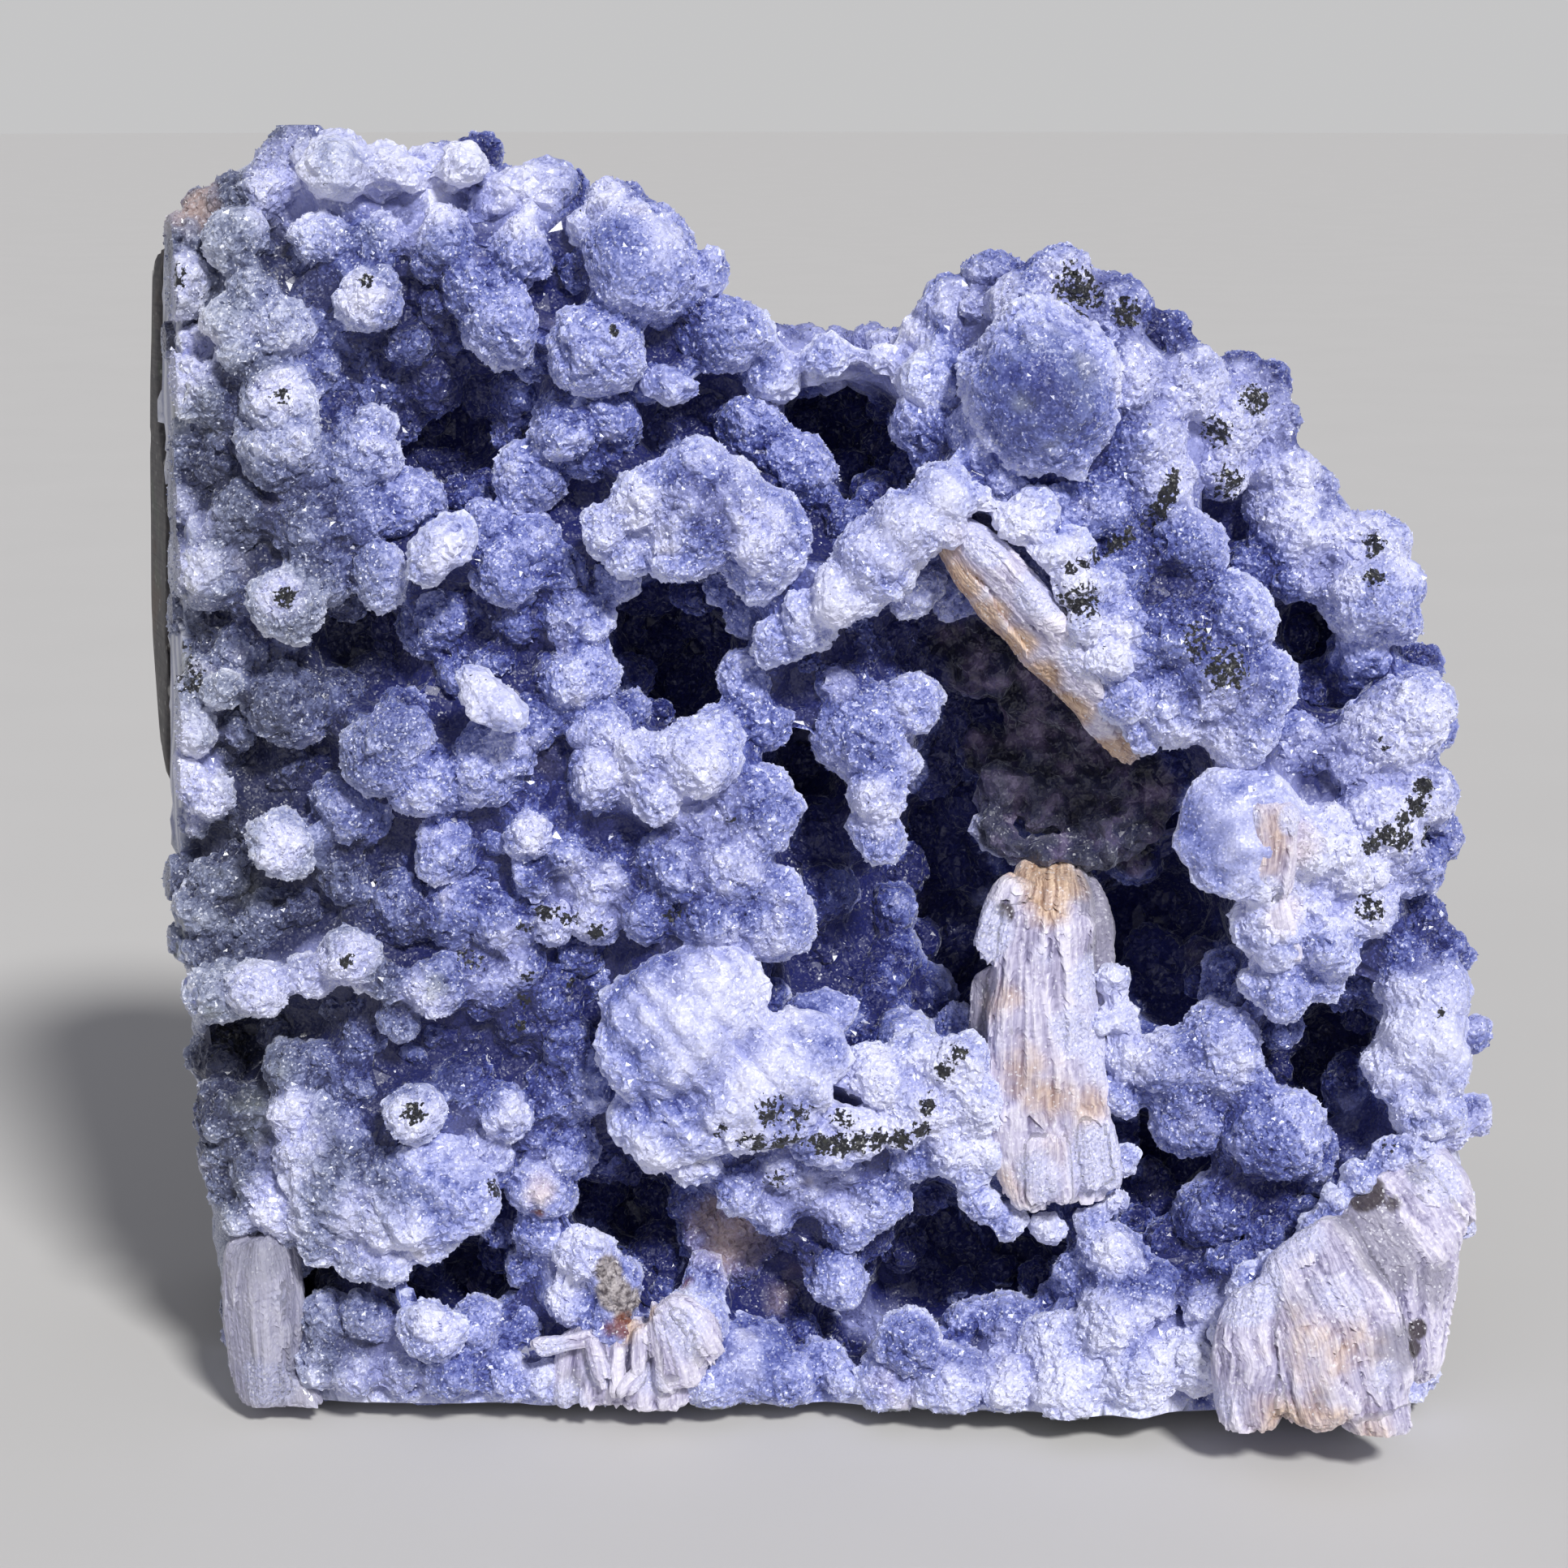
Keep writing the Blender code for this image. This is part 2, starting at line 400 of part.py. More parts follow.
def lump_cluster(cutters):
    """All lumps and plates as balls and lenses that overlap the ground."""
    places = []
    for lumps in LUMPS.values():
        for a, d, face, r in lumps:
            size = r * swell(face)
            places.append(ball_matrix(place(a, d, face + size), (size, size, size), 0))
    for a, d, face, w, h, deep, turn in PLATES:
        places.append(ball_matrix(place(a, d, face + deep), (w * swell(face), deep, h * swell(face)), turn))
    for a, d, depth, r in edge_lumps():
        places.append(ball_matrix(place(a, d, depth), (r, r, r), 0))
    bm = bmesh.new()
    bmesh.ops.create_icosphere(bm, subdivisions=3, radius=1.0)
    ball = bpy.data.meshes.new("ball")
    bm.to_mesh(ball)
    bm.clear()
    for matrix in places:
        ball.transform(matrix)
        bm.from_mesh(ball)
        ball.transform(matrix.inverted())
    return new_object("lumps", mesh_of(bm, "lumps"), cutters)


def box(name, cutters, matrix, size):
    bm = bmesh.new()
    bmesh.ops.create_cube(bm, size=1.0)
    bmesh.ops.transform(bm, matrix=matrix @ Matrix.Diagonal((*size, 1.0)), verts=bm.verts)
    return new_object(name, mesh_of(bm, name), cutters)


def base_cutter(cutters):
    """All that lies under the sawn base."""
    return box("under_base", cutters, Matrix.Translation((0, 0, -CUTTER_SIZE / 2)), (CUTTER_SIZE,) * 3)


def undercut_cutter(cutters):
    """The wedge under the front edge, which stands clear of the table."""
    foot = Matrix.Translation((0, FRAME_FORWARD + FOOT_DEPTH, 0)) @ Matrix.Rotation(-UNDERCUT_SLOPE, 4, "X")
    matrix = foot @ Matrix.Translation((0, -CUTTER_SIZE / 2, -CUTTER_SIZE / 2))
    return box("under_front", cutters, matrix, (CUTTER_SIZE,) * 3)


def flank_cutter(cutters):
    """All that lies to the left of the sawn flank."""
    turn = Matrix.Rotation(FLANK_FLARE, 4, "Z") @ Matrix.Rotation(FLANK_LEAN, 4, "Y")
    matrix = Matrix.Translation(place(*FLANK_POINT)) @ turn @ Matrix.Translation((-CUTTER_SIZE / 2, 0, 0))
    return box("beside_flank", cutters, matrix, (CUTTER_SIZE,) * 3)


def seam_depth(across, down):
    """The depth of the seam at a reading: behind the deepest ground around it."""
    steps = np.linspace(-SEAM_REACH, SEAM_REACH, 7)
    around = np.array([(across + i, down + j) for i in steps for j in steps])
    wave = SEAM_WAVE * noise.noise(Vector((across, down, 5.0)) / 14.0)
    return ground_depths(around[:, 0], around[:, 1]).max() + CRUST_THICKNESS + wave


def seam_cutter(name, cutters, shift, far):
    """One side of the seam between crust and matrix, from a shifted seam to a far depth."""
    low, high = SEAM_SPAN
    bm = bmesh.new()
    bmesh.ops.create_grid(bm, x_segments=SEAM_STEPS, y_segments=SEAM_STEPS, size=(high - low) / 2)
    bmesh.ops.triangulate(bm, faces=bm.faces, quad_method="FIXED")
    middle = (low + high) / 2
    extruded = bmesh.ops.extrude_face_region(bm, geom=bm.faces[:])
    far_verts = {item for item in extruded["geom"] if isinstance(item, bmesh.types.BMVert)}
    for v in bm.verts:
        a, d = middle + v.co.x, middle - v.co.y
        v.co = place(a, d, far if v in far_verts else seam_depth(a, d)) + Vector((0, shift, 0))
    return new_object(name, mesh_of(bm, name), cutters)


def remeshed(obj, voxel):
    modifier = obj.modifiers.new("Remesh", "REMESH")
    modifier.mode = "VOXEL"
    modifier.voxel_size = voxel * MM
    apply_modifiers(obj)


def thin_to(obj, faces):
    """Fewer, larger facets, most of them where the shape bends most."""
    modifier = obj.modifiers.new("Decimate", "DECIMATE")
    triangles = sum(len(p.vertices) - 2 for p in obj.data.polygons)
    modifier.ratio = min(1.0, faces / triangles)
    apply_modifiers(obj)


def blade(cutters, name, start, end, width, thickness, turn, grow):
    """One stilbite crystal: a flat-sided lath that widens from its root and ends in a blunt chisel tip."""
    root, tip = place(*start), place(*end)
    axis = (tip - root).normalized()
    length = (tip - root).length + 2 * grow
    across = Vector((1, 0, 0)) - axis * axis.x
    if across.length < 0.4:
        across = Vector((0, 0, 1)) - axis * axis.z
    across.normalize()
    frame = Matrix((across, axis.cross(across), axis)).transposed().to_4x4()
    frame = Matrix.Translation(root - axis * grow) @ frame @ Matrix.Rotation(math.radians(turn), 4, "Z")
    half_w, half_t = width / 2 + grow, thickness / 2 + grow
    tip_length = min(BLADE_TIP_LENGTH, 0.35 * length)
    bm = bmesh.new()
    made = bmesh.ops.create_cube(bm, size=1.0)
    bmesh.ops.translate(bm, vec=(0, 0, 0.5), verts=made["verts"])
    bmesh.ops.scale(bm, vec=(2 * half_w, 2 * half_t, length - tip_length), verts=bm.verts)
    low = [v for v in bm.verts if v.co.z < 0.5 * (length - tip_length)]
    bmesh.ops.scale(bm, vec=(BLADE_ROOT_SHARE, BLADE_ROOT_SHARE, 1), verts=low)
    if thickness > THIN_BLADE:
        upright = [e for e in bm.edges if abs(e.verts[0].co.z - e.verts[1].co.z) > 0.5 * (length - tip_length)]
        bmesh.ops.bevel(bm, geom=upright, offset=0.22 * min(width, thickness), segments=1, affect="EDGES")
    top = max(bm.faces, key=lambda f: f.calc_center_median().z)
    raised = bmesh.ops.extrude_face_region(bm, geom=[top])
    risen = [item for item in raised["geom"] if isinstance(item, bmesh.types.BMVert)]
    bmesh.ops.delete(bm, geom=[top], context="FACES_ONLY")
    bmesh.ops.translate(bm, vec=(0, 0, tip_length), verts=risen)
    bmesh.ops.scale(bm, vec=(BLADE_TIP_SHARE + 0.25, BLADE_TIP_SHARE, 1), verts=risen)
    bmesh.ops.transform(bm, matrix=frame, verts=bm.verts)
    return new_object(name, mesh_of(bm, name), cutters)


def sheaf(name, cutters, grow):
    """The blades of one stilbite piece, grown into one another."""
    pieces = [blade(cutters, f"{name}_{i}", *row, grow) for i, row in enumerate(BLADES[name])]
    whole = pieces[0]
    for other in pieces[1:]:
        combine(whole, other, "UNION")
        bpy.data.objects.remove(other)
    return whole


def material(name, colour, roughness):
    made = bpy.data.materials.new(name)
    made.use_nodes = True
    shader = made.node_tree.nodes["Principled BSDF"]
    shader.inputs["Base Color"].default_value = (*colour, 1)
    shader.inputs["Roughness"].default_value = roughness
    shader.inputs["Metallic"].default_value = 0.0
    return made


def collections():
    """The collection of the parts and the one of the shapes that only cut them."""
    parts = bpy.data.collections.new(NAME)
    cutters = bpy.data.collections.new("cutters")
    for made in (parts, cutters):
        bpy.context.scene.collection.children.link(made)
    return parts, cutters


def whole_block(cutters):
    """Crust and matrix together, before the flat cuts."""
    block = relief_block(cutters)
    combine(block, outline_block(cutters), "INTERSECT")
    lumps = lump_cluster(cutters)
    bm = bmesh.new()
    bm.from_mesh(block.data)
    bm.from_mesh(lumps.data)
    bm.to_mesh(block.data)
    bm.free()
    remeshed(block, LUMP_VOXEL)
    return block


def move_to(obj, collection, name):
    for old in obj.users_collection:
        old.objects.unlink(obj)
    collection.objects.link(obj)
    obj.name = name


def keep_largest(obj):
    """Drops the crumbs that a cut leaves loose."""
    bm = bmesh.new()
    bm.from_mesh(obj.data)
    seen, shells = set(), []
    for start in bm.verts:
        if start in seen:
            continue
        shell, edge_of = set(), [start]
        while edge_of:
            v = edge_of.pop()
            if v in shell:
                continue
            shell.add(v)
            edge_of.extend(e.other_vert(v) for e in v.link_edges)
        seen |= shell
        shells.append(shell)
    largest = max(shells, key=len)
    bmesh.ops.delete(bm, geom=[v for v in bm.verts if v not in largest], context="VERTS")
    bm.to_mesh(obj.data)
    bm.free()


def build():
    for obj in list(bpy.data.objects):
        bpy.data.objects.remove(obj)
    parts, cutters = collections()
    crust = whole_block(cutters)
    matrix = new_object("matrix", crust.data.copy(), cutters)
    thin_to(crust, CRUST_FACES)
    thin_to(matrix, MATRIX_FACES)
    cuts = (flank_cutter(cutters), undercut_cutter(cutters), base_cutter(cutters))
    for body in (crust, matrix):
        for cutter in cuts:
            combine(body, cutter, "DIFFERENCE")
    combine(crust, seam_cutter("behind_seam", cutters, 0.0, 120.0), "DIFFERENCE")
    combine(matrix, seam_cutter("before_seam", cutters, GAP, -60.0), "DIFFERENCE")
    looks = {
        "chalcedony_crust": material("drusy chalcedony", (0.36, 0.38, 0.66), 0.45),
        "basalt_matrix": material("basalt", (0.05, 0.048, 0.05), 0.85),
        "stilbite": material("stilbite", (0.80, 0.74, 0.64), 0.3),
    }
    for name in BLADES:
        pocket = sheaf(name, cutters, GAP)
        pocket.name = f"{name}_pocket"
        for body in (crust, matrix):
            combine(body, pocket, "DIFFERENCE")
        piece = sheaf(name, cutters, 0.0)
        move_to(piece, parts, name)
        for cutter in (bpy.data.objects["under_front"], bpy.data.objects["under_base"]):
            combine(piece, cutter, "DIFFERENCE")
        piece.data.materials.clear()
        piece.data.materials.append(looks["stilbite"])
    for body, name in ((crust, "chalcedony_crust"), (matrix, "basalt_matrix")):
        keep_largest(body)
        move_to(body, parts, name)
        body.data.materials.clear()
        body.data.materials.append(looks[name])
    for cutter in cutters.objects:
        cutter.hide_render = True
        cutter.display_type = "WIRE"


build()
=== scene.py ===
"""Looks for the chalcedony with stilbite: sugary lavender lumps, cream blades and dark basalt around the fixed frame.

Places on the front are readings, as in the part: millimetres across and down from the top left corner of a square
frame that the viewer holds against the block, and a depth behind it.
"""

import itertools
import math

import bpy
import numpy as np
from mathutils import Matrix, Vector
from mathutils.bvhtree import BVHTree


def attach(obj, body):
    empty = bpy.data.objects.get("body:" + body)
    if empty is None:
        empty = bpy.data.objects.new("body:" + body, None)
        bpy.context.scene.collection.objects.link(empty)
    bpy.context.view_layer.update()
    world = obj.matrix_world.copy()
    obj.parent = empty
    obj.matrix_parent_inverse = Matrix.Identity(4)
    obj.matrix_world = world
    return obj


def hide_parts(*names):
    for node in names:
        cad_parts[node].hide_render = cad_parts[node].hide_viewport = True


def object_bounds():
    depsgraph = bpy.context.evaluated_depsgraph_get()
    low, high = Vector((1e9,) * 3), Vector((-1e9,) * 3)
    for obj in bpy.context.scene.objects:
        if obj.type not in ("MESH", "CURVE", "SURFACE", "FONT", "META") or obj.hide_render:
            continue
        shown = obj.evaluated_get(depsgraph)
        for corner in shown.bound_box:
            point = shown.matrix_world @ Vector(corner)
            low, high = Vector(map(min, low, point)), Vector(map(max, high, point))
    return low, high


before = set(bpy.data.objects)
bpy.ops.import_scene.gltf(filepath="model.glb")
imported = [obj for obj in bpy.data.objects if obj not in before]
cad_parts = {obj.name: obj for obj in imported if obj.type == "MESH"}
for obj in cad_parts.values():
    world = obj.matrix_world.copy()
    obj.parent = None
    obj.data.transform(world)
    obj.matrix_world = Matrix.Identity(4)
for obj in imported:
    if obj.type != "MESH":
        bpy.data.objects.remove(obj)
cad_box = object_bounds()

MM = 0.001

# The viewer and the reading frame, in millimetres.
EYE_REACH = 380.0
EYE_PITCH = math.radians(13.0)
FRAME_MIDDLE = 96.6
FRAME_SIDE = -3.25
FRAME_FORWARD = -29.2
FRAME_HEIGHT = 88.7
EYE = np.array([
    FRAME_SIDE, FRAME_FORWARD - EYE_REACH * math.cos(EYE_PITCH), FRAME_HEIGHT + EYE_REACH * math.sin(EYE_PITCH)])
TOWARDS_VIEWER = np.array([0.0, -math.cos(EYE_PITCH), math.sin(EYE_PITCH)])

# Flat cuts of the block: the sawn flank, and the undercut from the front edge of the base.
FLANK_POINT = (18.0, 60.0, 40.0)
FLANK_FLARE = math.radians(21.5)
FLANK_LEAN = math.radians(3.0)
FOOT_DEPTH = 20.0
UNDERCUT_SLOPE = math.radians(12.0)
CUT_REACH = 0.6
CUT_FACING = 0.8
STANDS_PROUD = 1.0

# The ground between lumps lies this share of a lump's radius, and this much more, behind its face.
GROUND_SHARE = 0.8
GROUND_DROP = 1.2

# Maps of the front over the reading frame, and the coarse grid of how deep points lie in the block.
MAP_STEP = 0.5
MAP_SPAN = 193.0
INSIDE_STEP = 2.5
SEAM_WIDTH = 1.2

# How finely the pieces are grown, how many rounds smooth them, and how far their hidden parts are coarsened.
GROUND_VOXEL = 1.5
LUMP_VOXEL = 0.55
RIM_VOXEL = 0.85
BASALT_VOXEL = 1.7
STILBITE_VOXEL = 0.42
MELT = 5
RIM_MELT = 9
PLATE_MELT = 2
MELTED_REGIONS = {
    "right_peak": 26, "right_wall": 18, "lower_right": 18, "lower_middle": 14, "middle": 14, "saddle": 10,
    "broken_nodule": 10, "brain_lump_and_finger": 9, "druse_on_the_blades": 12}
HIDDEN_THINNING = 0.93

# The quartz coat: loose crumbs on the surface, the width of one facet, and points standing in each of three fields.
CRUMB = 0.085
FACET = 0.26
POINTS_IN_A_FIELD = 7000

# The relief of the crust: height and width of its broad sway, its finer sway, its knobs and its teeth.
SWAY = (0.8, 6.5)
FINE_SWAY = (0.4, 3.0)
KNOB = (0.6, 2.8)
TOOTH = (0.55, 1.2)

# What whitens the crust, or deepens it where it has a minus: a share of each measure that remember takes.
# Painted shade: sunk and cave darken recesses and the big hollows; deep_patch darkens the bluer zones and the gaps.
# Painted sheen: rim and steep_rim whiten the crust where its broad forms turn away from the viewer.
# The crest shares whiten crests, partly as the white tips of the grains, and darken creases as painted shade.
FROST_AND_SHADE = {
    "everywhere": 0.3, "rim": 0.14, "steep_rim": 0.34, "fine_crest": 0.25, "broad_crest": 0.2, "sunk": -0.07,
    "cave": -0.4, "wide_cloud": 0.15, "middle_cloud": 0.1, "small_cloud": 0.06, "deep_patch": -0.4}

# The middle that the rim lumps are set back towards, their depths with their shares of the way out, and the tries at
# a small lump for every bare place.
HEART = (100.0, 110.0)
RIM_ROWS = ((20, 0.975), (25, 0.965), (30, 0.955))
FILL_TRIES = 6000

# The length of a saw mark on the basalt, in millimetres.
SAW_MARK = 1000 / 60

# Colour and strength of the surround as it lights the block, and its colour as the viewer sees it.
SURROUND = ((0.86, 0.88, 1.0, 1.0), 0.26)
BACKDROP = (0.56, 0.56, 0.565, 1.0)

# Name, the way it stands, width in degrees and strength of each lamp.
LAMPS = (("key", (0.44, -0.90, 0.95), 10.0, 3.1), ("fill", (-0.35, -1.0, 0.3), 50.0, 0.33))

# The edge of the block over the top and down the right: (across, down).
RIM = [
    (37, 16.5), (43, 17.5), (50, 18.3), (57, 18), (63, 20), (68, 23), (74, 24), (79, 27), (84, 32), (88, 35.5),
    (92, 38), (95.5, 40.5), (101, 40), (107, 40), (113, 40.5), (117, 37.5), (121, 35.5), (125, 34.5), (128, 31.5),
    (132, 30.5), (136, 34), (140, 38), (145, 41), (149, 44.5), (152, 47.5), (154.5, 46), (158, 51), (161, 56),
    (164, 61.5), (168, 63.5), (171, 67), (174, 72), (175, 78), (170, 82), (176, 86), (178.5, 91), (179, 97),
    (179, 103), (175.5, 109), (175.5, 114), (178, 121), (179, 130), (179, 137),
]

# Lumps on the front, region by region: (across, down, depth of the face, radius).
LUMPS = {
    "left_peak": [
        (37, 20.5, 20, 5), (43, 21.5, 21, 3.5), (49, 21.5, 21, 3.5), (55, 21.5, 21, 4), (61, 23, 20, 3.5),
        (68, 26, 19, 3.5), (28.5, 25, 21, 3.6), (33, 24, 19, 3.5), (22.5, 30, 19, 3.5), (22, 35, 16, 4.3),
        (29, 29.5, 15, 3.5), (31.6, 36, 13, 4), (28.5, 39.5, 12, 3.2), (35, 40, 11, 4), (30, 43, 12, 3.5),
        (45, 36.8, 11, 4.6), (20.5, 46, 15, 2.8), (24.5, 48, 13, 4), (34.5, 49, 9, 4.6), (35, 55.5, 9, 6.5),
        (46, 52, 13, 3), (44, 57, 12, 6), (40, 30, 15, 4), (47, 29.5, 15, 4), (55, 30, 14, 4.6), (64, 31, 14, 4.6),
        (61.5, 40, 11, 5.2), (58, 35, 13, 4), (50, 42, 16, 4), (53, 47, 20, 4), (73.5, 43, 8, 6.2), (72, 52, 11, 7.5),
        (65, 59, 12, 4.4), (79, 32.5, 9, 7.5), (76, 27, 14, 5), (72, 33, 16, 3.6), (89.3, 41, 13, 5.6),
        (85, 52, 22, 4.2), (92.5, 53, 16, 4.6), (98, 57.5, 15, 4.7), (72.5, 60.5, 22, 2.6), (56, 57.5, 26, 3),
    ],
    "saddle": [
        (95.5, 43.5, 24, 3.5), (98.5, 46, 24, 3.5), (103, 43.5, 28, 3.4), (108, 43.5, 26, 3), (112, 43, 24, 3.2),
        (116.5, 40.5, 20, 3.2), (121, 38, 16, 3.4), (111, 47.5, 26, 3),
    ],
    "right_peak": [
        (113.5, 52, 14, 4.2), (121.5, 46, 9, 4.5), (121, 54, 8, 5), (123, 59, 8, 4.6), (131, 34, 14, 4.3),
        (126, 38, 12, 4), (137, 39, 14, 5), (139, 46, 10, 5), (140, 54, 10, 6), (146, 47, 12, 5), (152, 51, 14, 4.5),
        (156.5, 52, 16, 4.5), (150, 57, 14, 4.5), (158, 58, 16, 4), (161.5, 61, 18, 3.6), (143, 60, 10, 5),
        (136, 62, 9, 5), (130, 64, 8, 5), (159, 65, 15, 6), (154, 70, 16, 4), (160, 71, 15, 3.5),
        (165.5, 66, 15, 3.8), (169.5, 67, 14, 4.3), (169, 74, 11, 6), (172.5, 76.5, 13, 3.3), (146, 68, 8, 5.5),
        (138, 70, 8, 5), (152, 76, 6, 5.5), (145, 77, 6, 6), (139, 79, 6, 4.5), (150, 84, 4, 5.5), (156, 84, 6, 4.5),
        (145, 87, 5, 5), (153, 90, 5, 5), (160, 92, 10, 4.5), (171.5, 90, 7, 7.6), (176, 90, 10, 3.2),
        (167, 94, 10, 4), (174.5, 98, 9, 5), (170, 101, 6, 6), (173.5, 107, 9, 4.2),
    ],
    "brain_lump_and_finger": [
        (85.5, 60, 3, 6.5), (80, 62, 4, 5), (90, 62, 4, 5.5), (85, 66, 3, 6), (75.5, 65, 5, 4), (94, 66, 5, 6),
        (93, 71, 7, 3.5), (100, 61, 16, 3.5), (78, 68, 6, 3), (116, 61, 4, 4.6), (112, 65, 3, 4.7), (108, 69, 3, 4.8),
        (104, 73, 4, 4.8), (100, 76.5, 6, 4.2), (96, 79, 8, 3.7), (92, 84, 12, 4), (88, 91, 8, 4.5), (94, 89, 12, 4),
    ],
    "left_field": [
        (21.5, 69, 12, 4), (26.5, 70, 10, 5.5), (22, 62, 14, 3.5), (35.5, 74.2, 5, 4.5), (30, 64, 11, 5),
        (38, 64, 10, 5.5), (44, 63, 11, 5), (50, 62, 14, 4.5), (47, 71.5, 8, 4), (40, 70, 10, 4), (54, 76.5, 13, 5.6),
        (63, 70, 9, 5), (60, 65, 12, 4), (66, 66, 12, 3.5), (27.5, 85, 8, 3), (35.5, 87, 9, 5), (41, 86, 12, 4.5),
        (30, 80, 13, 4), (24, 90, 9, 3.2), (23, 95, 10, 3), (26, 98, 9, 3.5), (48, 92, 5, 6.6), (43, 100, 9, 5),
        (60, 94, 6, 5.8), (53, 96, 7, 4.5), (35, 104.2, 5, 4.3), (55, 104.5, 7, 4.5), (42.5, 108, 9, 4),
        (65.5, 103, 6, 4), (50, 88, 9, 4), (36, 95, 14, 5), (47, 83, 18, 4), (64, 76, 12, 4), (66, 88, 10, 4.5),
        (71, 76, 10, 5), (71.5, 83, 9, 5.5), (77, 88, 14, 3.5), (74, 90, 9, 3.6), (84, 85, 34, 2.5), (76, 71, 12, 3),
        (69, 70, 11, 4),
    ],
    "middle": [
        (73.5, 96, 7, 5), (80.5, 98.5, 4, 3.6), (79, 93, 6, 3.4), (86, 93, 4, 5.5), (93, 100, 6, 6), (86, 101, 8, 4),
        (90, 107, 4, 6), (84, 107, 5, 4.5), (95, 112.5, 5, 5.7), (88, 113, 4, 5), (80, 112, 6, 4.5),
        (82, 106, 7, 3.5), (75, 108, 7, 4.5), (70, 105, 7, 4), (66, 108, 7, 3.5), (73, 113, 7, 3.6),
    ],
    "hanging_pillar": [
        (106, 79, 18, 4.6), (103.5, 84, 14, 3.8), (106, 90, 10, 6.5), (112, 87, 11, 4.5), (110, 94, 11, 4.5),
        (108.5, 98, 9, 4), (108, 103, 9, 4.2),
    ],
    "hollow_lining": [
        (100, 103, 24, 5), (102, 110.5, 20, 4.5), (102, 116, 22, 4), (110, 112, 26, 3.4), (108, 122, 20, 4.5),
        (110, 118, 24, 3.5), (111, 128, 14, 4.2), (106, 128, 16, 3.4), (114, 123, 24, 4), (142, 117, 28, 3.7),
        (139, 121.5, 26, 3), (144, 122, 26, 3), (121, 98, 34, 5), (126, 92, 30, 6), (133, 92, 28, 5),
        (130, 100, 32, 6), (137, 100, 26, 5), (140, 105, 24, 4.5), (118, 107, 38, 4), (134, 106, 30, 4),
        (122.4, 102.6, 20.4, 3), (125.6, 104.8, 18.4, 2.8), (129.2, 105.6, 17.8, 2.8), (132.8, 105.2, 18, 2.8),
        (136.2, 103.6, 18.8, 3), (139, 102.4, 19.4, 3), (141.2, 100.6, 19.8, 3.4), (144.2, 97.4, 19.4, 3.4),
        (124, 97.6, 22.5, 4), (129.4, 98.4, 21.4, 4.2), (135, 97.6, 21.4, 4.4), (140.4, 95.4, 21.4, 4.2),
        (127.6, 92.4, 24, 4.8), (133.8, 91.6, 23.6, 4.8), (138.6, 90, 22.4, 4.4), (131, 86.6, 25, 4.8),
        (135.6, 86.4, 22.6, 4.2), (126.4, 84.4, 25, 4.4), (121, 92.6, 27, 4.4), (122.4, 81.4, 24, 4),
    ],
    "right_wall": [
        (159, 104, 3, 6), (163, 104, 4, 5), (160, 112, 5, 5), (157, 117, 5, 4), (163, 116, 4, 5), (168, 112, 6, 5),
        (166, 106, 5, 5), (159, 122.5, 4, 3.6), (155, 121, 6, 2.6), (163, 121, 7, 3), (172.5, 117, 10, 4),
        (172, 121, 8, 4), (177, 123, 6, 4.2), (174, 127, 5, 5), (177, 131, 4, 5), (176, 137, 3, 5), (171, 132, 6, 4),
        (144, 131, 6, 6), (150, 129, 6, 6), (147, 137, 8, 5.5), (140, 131, 8, 4), (153, 134, 8, 4),
        (138.5, 135.5, 9, 3), (157.5, 139.5, 4, 6), (154, 143, 8, 5), (150, 149, 7, 5.8), (142, 147, 18, 3.8),
        (156, 148, 9, 4), (161, 142, 8, 4),
    ],
    "druse_on_the_blades": [
        (137.2, 121, 11, 2.2), (138.2, 125.4, 9.4, 3), (138.8, 130, 8.6, 3.4), (135.6, 126, 8.6, 1.9),
        (137.6, 135, 8, 2.6), (119.2, 133.5, 8, 2.8), (119.8, 138.5, 7, 2.8), (119, 143.5, 6.8, 3),
        (120.6, 148.6, 6.8, 2.6), (121.6, 142, 6.2, 2), (138.4, 143, 7.4, 2.6), (137.6, 148, 8, 2.2),
        (124, 150.4, 7.2, 2.2), (134.4, 150.4, 7.6, 2.2), (129.2, 151.4, 8, 2.4), (120.6, 61.2, 5, 2.4),
        (125.2, 64.4, 4.2, 2.8), (129.4, 68, 3.6, 2.8), (131.8, 72, 3.4, 2.7), (134.2, 76.6, 3.4, 2.8),
        (136.4, 81.2, 4, 2.8), (138.4, 86.2, 5, 2.8), (140.8, 90.6, 6.9, 3), (117, 61.6, 3.8, 2.6),
        (116.8, 64.8, 4.6, 2.8), (127.5, 63, 5, 3.2), (132, 67.6, 5, 3.2), (135, 72, 5, 3.2), (138, 77, 5.2, 3.2),
        (153.4, 160.4, -1, 2.8), (156.6, 157.6, -0.6, 2.8), (159.8, 155, 0, 2.8), (162.4, 151.8, 0.6, 2.8),
        (164.6, 148.2, 1.4, 2.6), (167.4, 144.6, 2.6, 2.4), (171.2, 142.4, 3.6, 2.8), (175.2, 140.6, 4.2, 3),
        (179, 139.6, 6, 3), (150.4, 164, -1.6, 2.4), (149.6, 169, -2.4, 2.2),
    ],
    "lower_right": [
        (134, 150, 12, 4.2), (137, 154.5, 4, 4.5), (133, 157, 8, 4), (141, 159, 2, 5), (137, 163, 0, 5.5),
        (144, 153, 10, 4), (147, 158, 6, 4.5), (152, 156, 4, 4), (130, 166, 2, 5), (124, 163, 8, 5),
        (119, 163, 10, 4), (112, 165, 2, 4.8), (124, 170, 2, 5), (117, 170, 2, 5), (132, 171, -1, 5),
        (140, 170, -3, 5.5), (147, 168, -2, 4.5), (109, 170, 4, 4), (157, 153, 6, 4), (160, 151, 8, 4),
        (149, 161, 1, 3.5), (153.5, 158.5, -1, 3.2),
    ],
    "lower_middle": [
